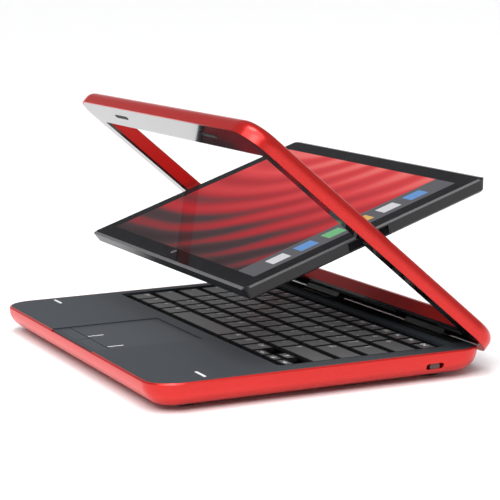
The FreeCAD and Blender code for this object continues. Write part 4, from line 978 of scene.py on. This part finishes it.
@dataclass
class Base:
    """Lower half: tub, deck, touch pad, ports and what is inside."""

    frame: dict
    blocks: RowMaker
    cap_front: float = 0.06
    cap_lift: float = 0.00002
    pad_mark_count: int = 2
    pad_mark_start: float = -0.0075
    pad_mark_inset: float = 0.0056
    pad_mark_pitch: float = 0.0355
    pad_mark_size: Size = (0.001, 0.0096, 0.00006)
    tongue_size: Size = (0.0088, 0.0104, 0.0016)
    tongue_inset: float = 0.0006
    tongue_lift: float = 0.0009
    contact_count: int = 4
    contact_size: Size = (0.0072, 0.001, 0.0002)
    contact_inset: float = 0.0004
    contact_start: float = 0.0036
    contact_pitch: float = 0.0024
    pin_inset: float = 0.001
    pin_length: float = 0.0084
    pin_radius: float = 0.0007
    pin_tip_radius: float = 0.00045
    pin_tip_start: float = 0.0001
    pin_tip_end: float = 0.0005
    slot_length: float = 0.0026
    slot_width: float = 0.0006
    slot_depth: float = 0.0001
    slot_lift: float = 0.00001
    finishes: dict[str, Finish] = field(default_factory=lambda: {
        "bottom_case": RED, "memory_door": RED, "palm_rest": DECK, "hinge_cover": BLACK,
        "keyboard_base": WELL, "touch_pad": PAD, "left_pad_button": PAD, "right_pad_button": PAD,
        "rubber_feet": RUBBER, "case_screws": STEEL, "deck_bumpers": PALE, "battery_pack": CELLS,
        "main_board": BOARD, "storage_drive": STEEL, "memory_module": BOARD, "wireless_card": BOARD,
        "fan_housing": BLACK, "fan_rotor": BLACK, "heat_sink": COPPER, "speakers": BLACK,
        "power_switch": SMOKE, "usb_sockets": STEEL, "audio_jack": BLACK, "power_inlet": BLACK,
        "hinge_pins": STEEL,
    })

    def build(self) -> None:
        """Paint the base and add the small pieces that the frame leaves out."""
        paint(self.frame, self.finishes)
        self.add_corner_caps()
        self.add_pad_marks()
        self.add_socket_tongues()
        self.add_inlet_pin()
        self.add_screw_slot_shade()

    def add_corner_caps(self) -> None:
        """Lay dark plates on the tub's flat back corners, so that the deck reaches the edge there."""
        mesh = self.frame["nodes"]["bottom_case"].data
        level = max(vertex.co.z for vertex in mesh.vertices) - MERGE_DISTANCE
        lift = Vector((0.0, 0.0, self.cap_lift))
        polygons = []
        for face in mesh.polygons:
            corners = [mesh.vertices[index].co for index in face.vertices]
            if all(corner.y > self.cap_front and corner.z > level for corner in corners):
                polygons.append([corner + lift for corner in corners])
        piece = new_object("corner_caps", plate_mesh("corner_caps", polygons, PRINT_DEPTH))
        dress(piece, "base", DECK.material())

    def add_pad_marks(self) -> None:
        """Add the printed lines at the front of the touch pad."""
        low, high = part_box("touch_pad")
        start = Vector((self.pad_mark_start, low.y + self.pad_mark_inset, high.z))
        step = Vector((self.pad_mark_pitch, 0.0, 0.0))
        size = Vector(self.pad_mark_size)
        piece = self.blocks.make("pad_marks", self.pad_mark_count, start, step, size, LEGEND.material())
        dress(piece, "base")

    def add_socket_tongues(self) -> None:
        """Add the tongue and the contacts in each data socket, from front to back."""
        boxes = sorted(solids_of(self.frame["nodes"]["usb_sockets"]), key=lambda pair: pair[0].y)
        size = Vector(self.tongue_size)
        contact = Vector(self.contact_size)
        step = Vector((0.0, self.contact_pitch, 0.0))
        for place, (low, high) in enumerate(boxes):
            middle = (low + high) / 2
            start = Vector((high.x - self.tongue_inset - size.x / 2, middle.y, middle.z + self.tongue_lift))
            tongue = self.blocks.make("socket_tongue_%d" % place, 1, start, ZERO, size, TONGUE.material())
            dress(tongue, "base")
            first = start - Vector((self.contact_inset, self.contact_start, size.z / 2))
            name = "socket_contacts_%d" % place
            contacts = self.blocks.make(name, self.contact_count, first, step, contact, GOLD.material())
            dress(contacts, "base")

    def add_inlet_pin(self) -> None:
        """Add the pin with its rounded tip in the power inlet."""
        low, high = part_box("power_inlet")
        middle = (low + high) / 2
        tip = Vector((low.x + self.pin_inset, middle.y, middle.z))
        profile = (
            (0.0, 0.0),
            (self.pin_tip_start, self.pin_tip_radius),
            (self.pin_tip_end, self.pin_radius),
            (self.pin_length, self.pin_radius),
            (self.pin_length, 0.0),
        )
        place = Matrix.Translation(tip) @ Matrix.Rotation(math.pi / 2, 4, "Y")
        pin = new_object("inlet_pin", turned_mesh("inlet_pin", profile, place))
        dress(pin, "base", STEEL.material())

    def add_screw_slot_shade(self) -> None:
        """Add a dark cross to the head of each case screw, as painted shade for its cross recess."""
        across = Vector((self.slot_length, self.slot_width, self.slot_depth))
        along = Vector((self.slot_width, self.slot_length, self.slot_depth))
        for place, (low, high) in enumerate(solids_of(self.frame["nodes"]["case_screws"])):
            middle = (low + high) / 2
            start = Vector((middle.x, middle.y, low.z + self.slot_lift))
            for turn, size in enumerate((across, along)):
                name = "screw_slot_%d_%d" % (place, turn)
                slot = self.blocks.make(name, 1, start, ZERO, size, WELL.material())
                dress(slot, "base")


@dataclass
class Lid:
    """Red ring with its glossy inner face."""

    frame: dict
    finishes: dict[str, Finish] = field(default_factory=lambda: {
        "lid_frame": RED, "lid_bezel": GLOSS, "lid_bumpers": RUBBER, "lid_hinge_arms": BLACK,
        "screen_pivot_pins": STEEL,
    })

    def build(self) -> None:
        """Paint the ring."""
        paint(self.frame, self.finishes)


@dataclass
class Screen:
    """Slab that turns inside the ring, with its lit display."""

    frame: dict
    blocks: RowMaker
    pose: Pose
    picture_lift: float = 0.00003
    bar_start: float = 0.9
    tile_edge: float = 0.0115
    tile_depth: float = 0.00004
    tile_lift: float = 0.00005
    tile_pitch: float = 0.018
    tile_count: int = 6
    rim_width: float = 0.0019
    rim_drop: float = 0.0007
    rim_lift: float = 0.00003
    rim_corner: float = 0.004
    ring_profile: Profile = (
        (-PRINT_DEPTH, 0.0),
        (-PRINT_DEPTH, 0.0021),
        (0.00006, 0.0021),
        (0.0001, 0.002),
        (0.0001, 0.0015),
        (0.00004, 0.0013),
        (0.00004, 0.0),
    )
    lens_profile: Profile = (
        (-PRINT_DEPTH, 0.0),
        (-PRINT_DEPTH, 0.0012),
        (0.00006, 0.0012),
        (0.00009, 0.0007),
        (0.0001, 0.0),
    )
    finishes: dict[str, Finish] = field(default_factory=lambda: {
        "screen_back": BLACK, "screen_glass": GLASS, "lcd_panel": BLACK, "screen_board": BOARD,
        "webcam_module": BLACK, "pivot_hubs": WELL,
    })

    def build(self) -> None:
        """Paint the slab and light the display."""
        paint(self.frame, self.finishes)
        self.add_picture()
        self.add_tiles()
        self.add_rim_highlight()
        self.add_camera_lens()

    def flat_box(self, name: str) -> Box:
        """Find the box of a CAD node of the screen as if the screen lay flat on the origin."""
        back = self.pose.screen_matrix().inverted()
        return box_of([back @ vertex.co for vertex in self.frame["nodes"][name].data.vertices])

    def add_picture(self) -> None:
        """Lay the lit picture on the glass, with flat coordinates from 0 to 1 across and up it."""
        low, high = self.flat_box("lcd_panel")
        level = self.flat_box("screen_glass")[1].z + self.picture_lift
        matrix = self.pose.screen_matrix()
        mesh = plate_mesh("lit_display", [flat_rectangle(low, high, 0.0, level)], PRINT_DEPTH, matrix)
        layer = mesh.uv_layers.new(name="flat")
        back = matrix.inverted()
        for loop in mesh.loops:
            flat = back @ mesh.vertices[loop.vertex_index].co
            across = (flat.x - low.x) / (high.x - low.x)
            up = (flat.y - low.y) / (high.y - low.y)
            layer.data[loop.index].uv = (across, up)
        dress(new_object("lit_display", mesh), "screen", Picture(self.bar_start).material())

    def add_tiles(self) -> None:
        """Set a column of plain coloured tiles on the display's side bar."""
        matrix = self.pose.screen_matrix()
        low, high = self.flat_box("lcd_panel")
        level = self.flat_box("screen_glass")[1].z + self.tile_lift
        x = low.x + (high.x - low.x) * (1 + self.bar_start) / 2
        first = self.tile_pitch * (self.tile_count - 1) / 2
        start = matrix @ Vector((x, first, level))
        step = matrix.to_3x3() @ Vector((0.0, -self.tile_pitch, 0.0))
        size = Vector((self.tile_edge, self.tile_edge, self.tile_depth))
        first_edge = start.y - step.y / 2
        tones = TilePaint(first_edge, first_edge + step.y * self.tile_count, self.tile_count)
        turn = Vector(matrix.to_euler())
        piece = self.blocks.make("display_tiles", self.tile_count, start, step, size, tones.material(), turn)
        dress(piece, "screen")

    def add_rim_highlight(self) -> None:
        """Lay a pale painted highlight round the glass, on the slab's own bevel, where the bevel catches the
        light.
        """
        high = self.flat_box("screen_back")[1]
        level = high.z + self.rim_lift
        outer = self.cut_outline(high.x, high.y, self.rim_corner, level - self.rim_drop)
        inner = self.cut_outline(high.x - self.rim_width, high.y - self.rim_width, self.rim_corner / 2, level)
        mesh = plate_mesh("screen_rim_highlight", ring_strips(outer, inner), PRINT_DEPTH, self.pose.screen_matrix())
        dress(new_object("screen_rim_highlight", mesh), "screen", RING_AND_RIM_HIGHLIGHT.material())

    def cut_outline(self, half_x: float, half_y: float, corner: float, level: float) -> Polygon:
        """List the points of a rectangle whose corners are cut off, anticlockwise from above.

        Args:
            half_x: Half of its width.
            half_y: Half of its height.
            corner: How much of each edge the cut takes.
            level: Height above the pivot.

        Returns:
            Points of the outline.
        """
        short_x, short_y = half_x - corner, half_y - corner
        right = [(short_x, -half_y), (half_x, -short_y), (half_x, short_y), (short_x, half_y)]
        left = [(-x, -y) for x, y in right]
        return [Vector((x, y, level)) for x, y in right + left]

    def add_camera_lens(self) -> None:
        """Add the camera's domed window and its ring above the display."""
        low, high = self.flat_box("webcam_module")
        centre = (low + high) / 2
        centre.z = self.flat_box("screen_glass")[1].z
        place = self.pose.screen_matrix() @ Matrix.Translation(centre)
        turned = {"camera_ring": (self.ring_profile, RING_AND_RIM_HIGHLIGHT), "camera_lens": (self.lens_profile, LENS)}
        for name, (profile, finish) in turned.items():
            piece = new_object(name, turned_mesh(name, profile, place))
            dress(piece, "screen", finish.material())


@dataclass(frozen=True)
class SoftLight:
    """One soft square light: its place, the edge of the square and its power in watts."""

    name: str
    place: Place
    edge: float
    power: float


@dataclass
class Studio:
    """Floor, lights and camera; angles are in degrees, focal and sensor in millimetres."""

    camera_place: Place = (1.09386, -0.44175, 0.24254)
    yaw: float = 67.46
    pitch: float = 8.75
    roll: float = -1.75
    focal: float = 142.9
    sensor: float = 36.0
    nearest: float = 0.01
    floor_radius: float = 14.0
    floor_sides: int = 64
    floor_depth: float = 0.01
    band_top: float = 0.1
    band_tone: Colour = (1.0, 1.0, 1.0)
    ceiling_start: float = 0.3
    ceiling_tone: Colour = (0.25, 0.25, 0.26)
    sky_place: Place = (0.5, -0.35, 1.0)
    sky_power: float = 3.0
    sky_width: float = 70.0
    aim: Place = (0.0, 0.0, 0.05)
    lights: tuple[SoftLight, ...] = (
        SoftLight("key_light", (1.3, -0.9, 1.2), 0.8, 9.0),
        SoftLight("top_light", (0.2, -0.2, 1.9), 0.7, 13.0),
    )

    def build(self) -> None:
        """Put up the floor, the lights and the camera."""
        self.add_floor()
        self.add_world()
        self.add_sky_light()
        for light in self.lights:
            self.add_light(light)
        self.add_camera()

    def add_floor(self) -> None:
        """Add a wide round pale floor."""
        edge = Vector((self.floor_radius, 0.0, 0.0))
        turns = [2 * math.pi * side / self.floor_sides for side in range(self.floor_sides)]
        points = [Matrix.Rotation(turn, 3, "Z") @ edge for turn in turns]
        floor = new_object("studio_floor", plate_mesh("studio_floor", [points], self.floor_depth))
        floor.data.materials.append(FLOOR.material())

    def add_world(self) -> None:
        """Light the room with a pale band round the horizon under a dim ceiling."""
        world = bpy.data.worlds.new("studio_world")
        world.use_nodes = True
        tree = world.node_tree
        place = tree.nodes.new("ShaderNodeTexCoord")
        split = tree.nodes.new("ShaderNodeSeparateXYZ")
        ramp = new_ramp(tree, ((self.band_top, self.band_tone), (self.ceiling_start, self.ceiling_tone)))
        join(
            tree,
            (place, "Generated", split, "Vector"),
            (split, "Z", ramp, "Fac"),
            (ramp, "Color", tree.nodes["Background"], "Color"),
        )
        bpy.context.scene.world = world
        bpy.context.scene.view_settings.view_transform = "Standard"

    def add_sky_light(self) -> None:
        """Add one very wide overhead light that whitens the whole floor evenly."""
        data = bpy.data.lights.new("sky_light", "SUN")
        data.energy = self.sky_power
        data.angle = math.radians(self.sky_width)
        light = new_object("sky_light", data)
        light.rotation_euler = (-Vector(self.sky_place)).to_track_quat("-Z", "Y").to_euler()

    def add_light(self, soft: SoftLight) -> None:
        """Hang one soft square light that faces the object.

        Args:
            soft: The light.
        """
        data = bpy.data.lights.new(soft.name, "AREA")
        data.size = soft.edge
        data.energy = soft.power
        light = new_object(soft.name, data)
        light.location = soft.place
        light.rotation_euler = (Vector(self.aim) - Vector(soft.place)).to_track_quat("-Z", "Y").to_euler()

    def add_camera(self) -> None:
        """Stand the camera where the photograph was taken from."""
        yaw = math.radians(self.yaw)
        pitch = math.radians(self.pitch)
        roll = math.radians(self.roll)
        back = Vector((math.sin(yaw) * math.cos(pitch), -math.cos(yaw) * math.cos(pitch), math.sin(pitch)))
        right = (-back).cross(Vector((0.0, 0.0, 1.0))).normalized()
        up = right.cross(-back)
        rolled_right = right * math.cos(roll) + up * math.sin(roll)
        rolled_up = up * math.cos(roll) - right * math.sin(roll)
        data = bpy.data.cameras.new("photo_camera")
        data.lens = self.focal
        data.sensor_width = self.sensor
        data.clip_start = self.nearest
        camera = new_object("photo_camera", data)
        turn = Matrix((rolled_right, rolled_up, back)).transposed()
        camera.matrix_world = Matrix.Translation(self.camera_place) @ turn.to_4x4()
        bpy.context.scene.camera = camera


def joint_place(frame: dict, name: str) -> Vector:
    """Find a point on a joint's axis, in metres."""
    found = [joint for joint in frame["joints"] if joint["name"] == name]
    return Vector(found[0]["pos_m"])


def main() -> None:
    """Build the looks on the frame and light them."""
    logging.basicConfig(level=logging.INFO)
    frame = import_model()
    blocks = RowMaker()
    pose = Pose(joint_place(frame, "screen_pivot"))
    Base(frame, blocks).build()
    Keyboard(frame, blocks).build()
    Lid(frame).build()
    Screen(frame, blocks, pose).build()
    Studio().build()


if __name__ == "__main__":
    main()
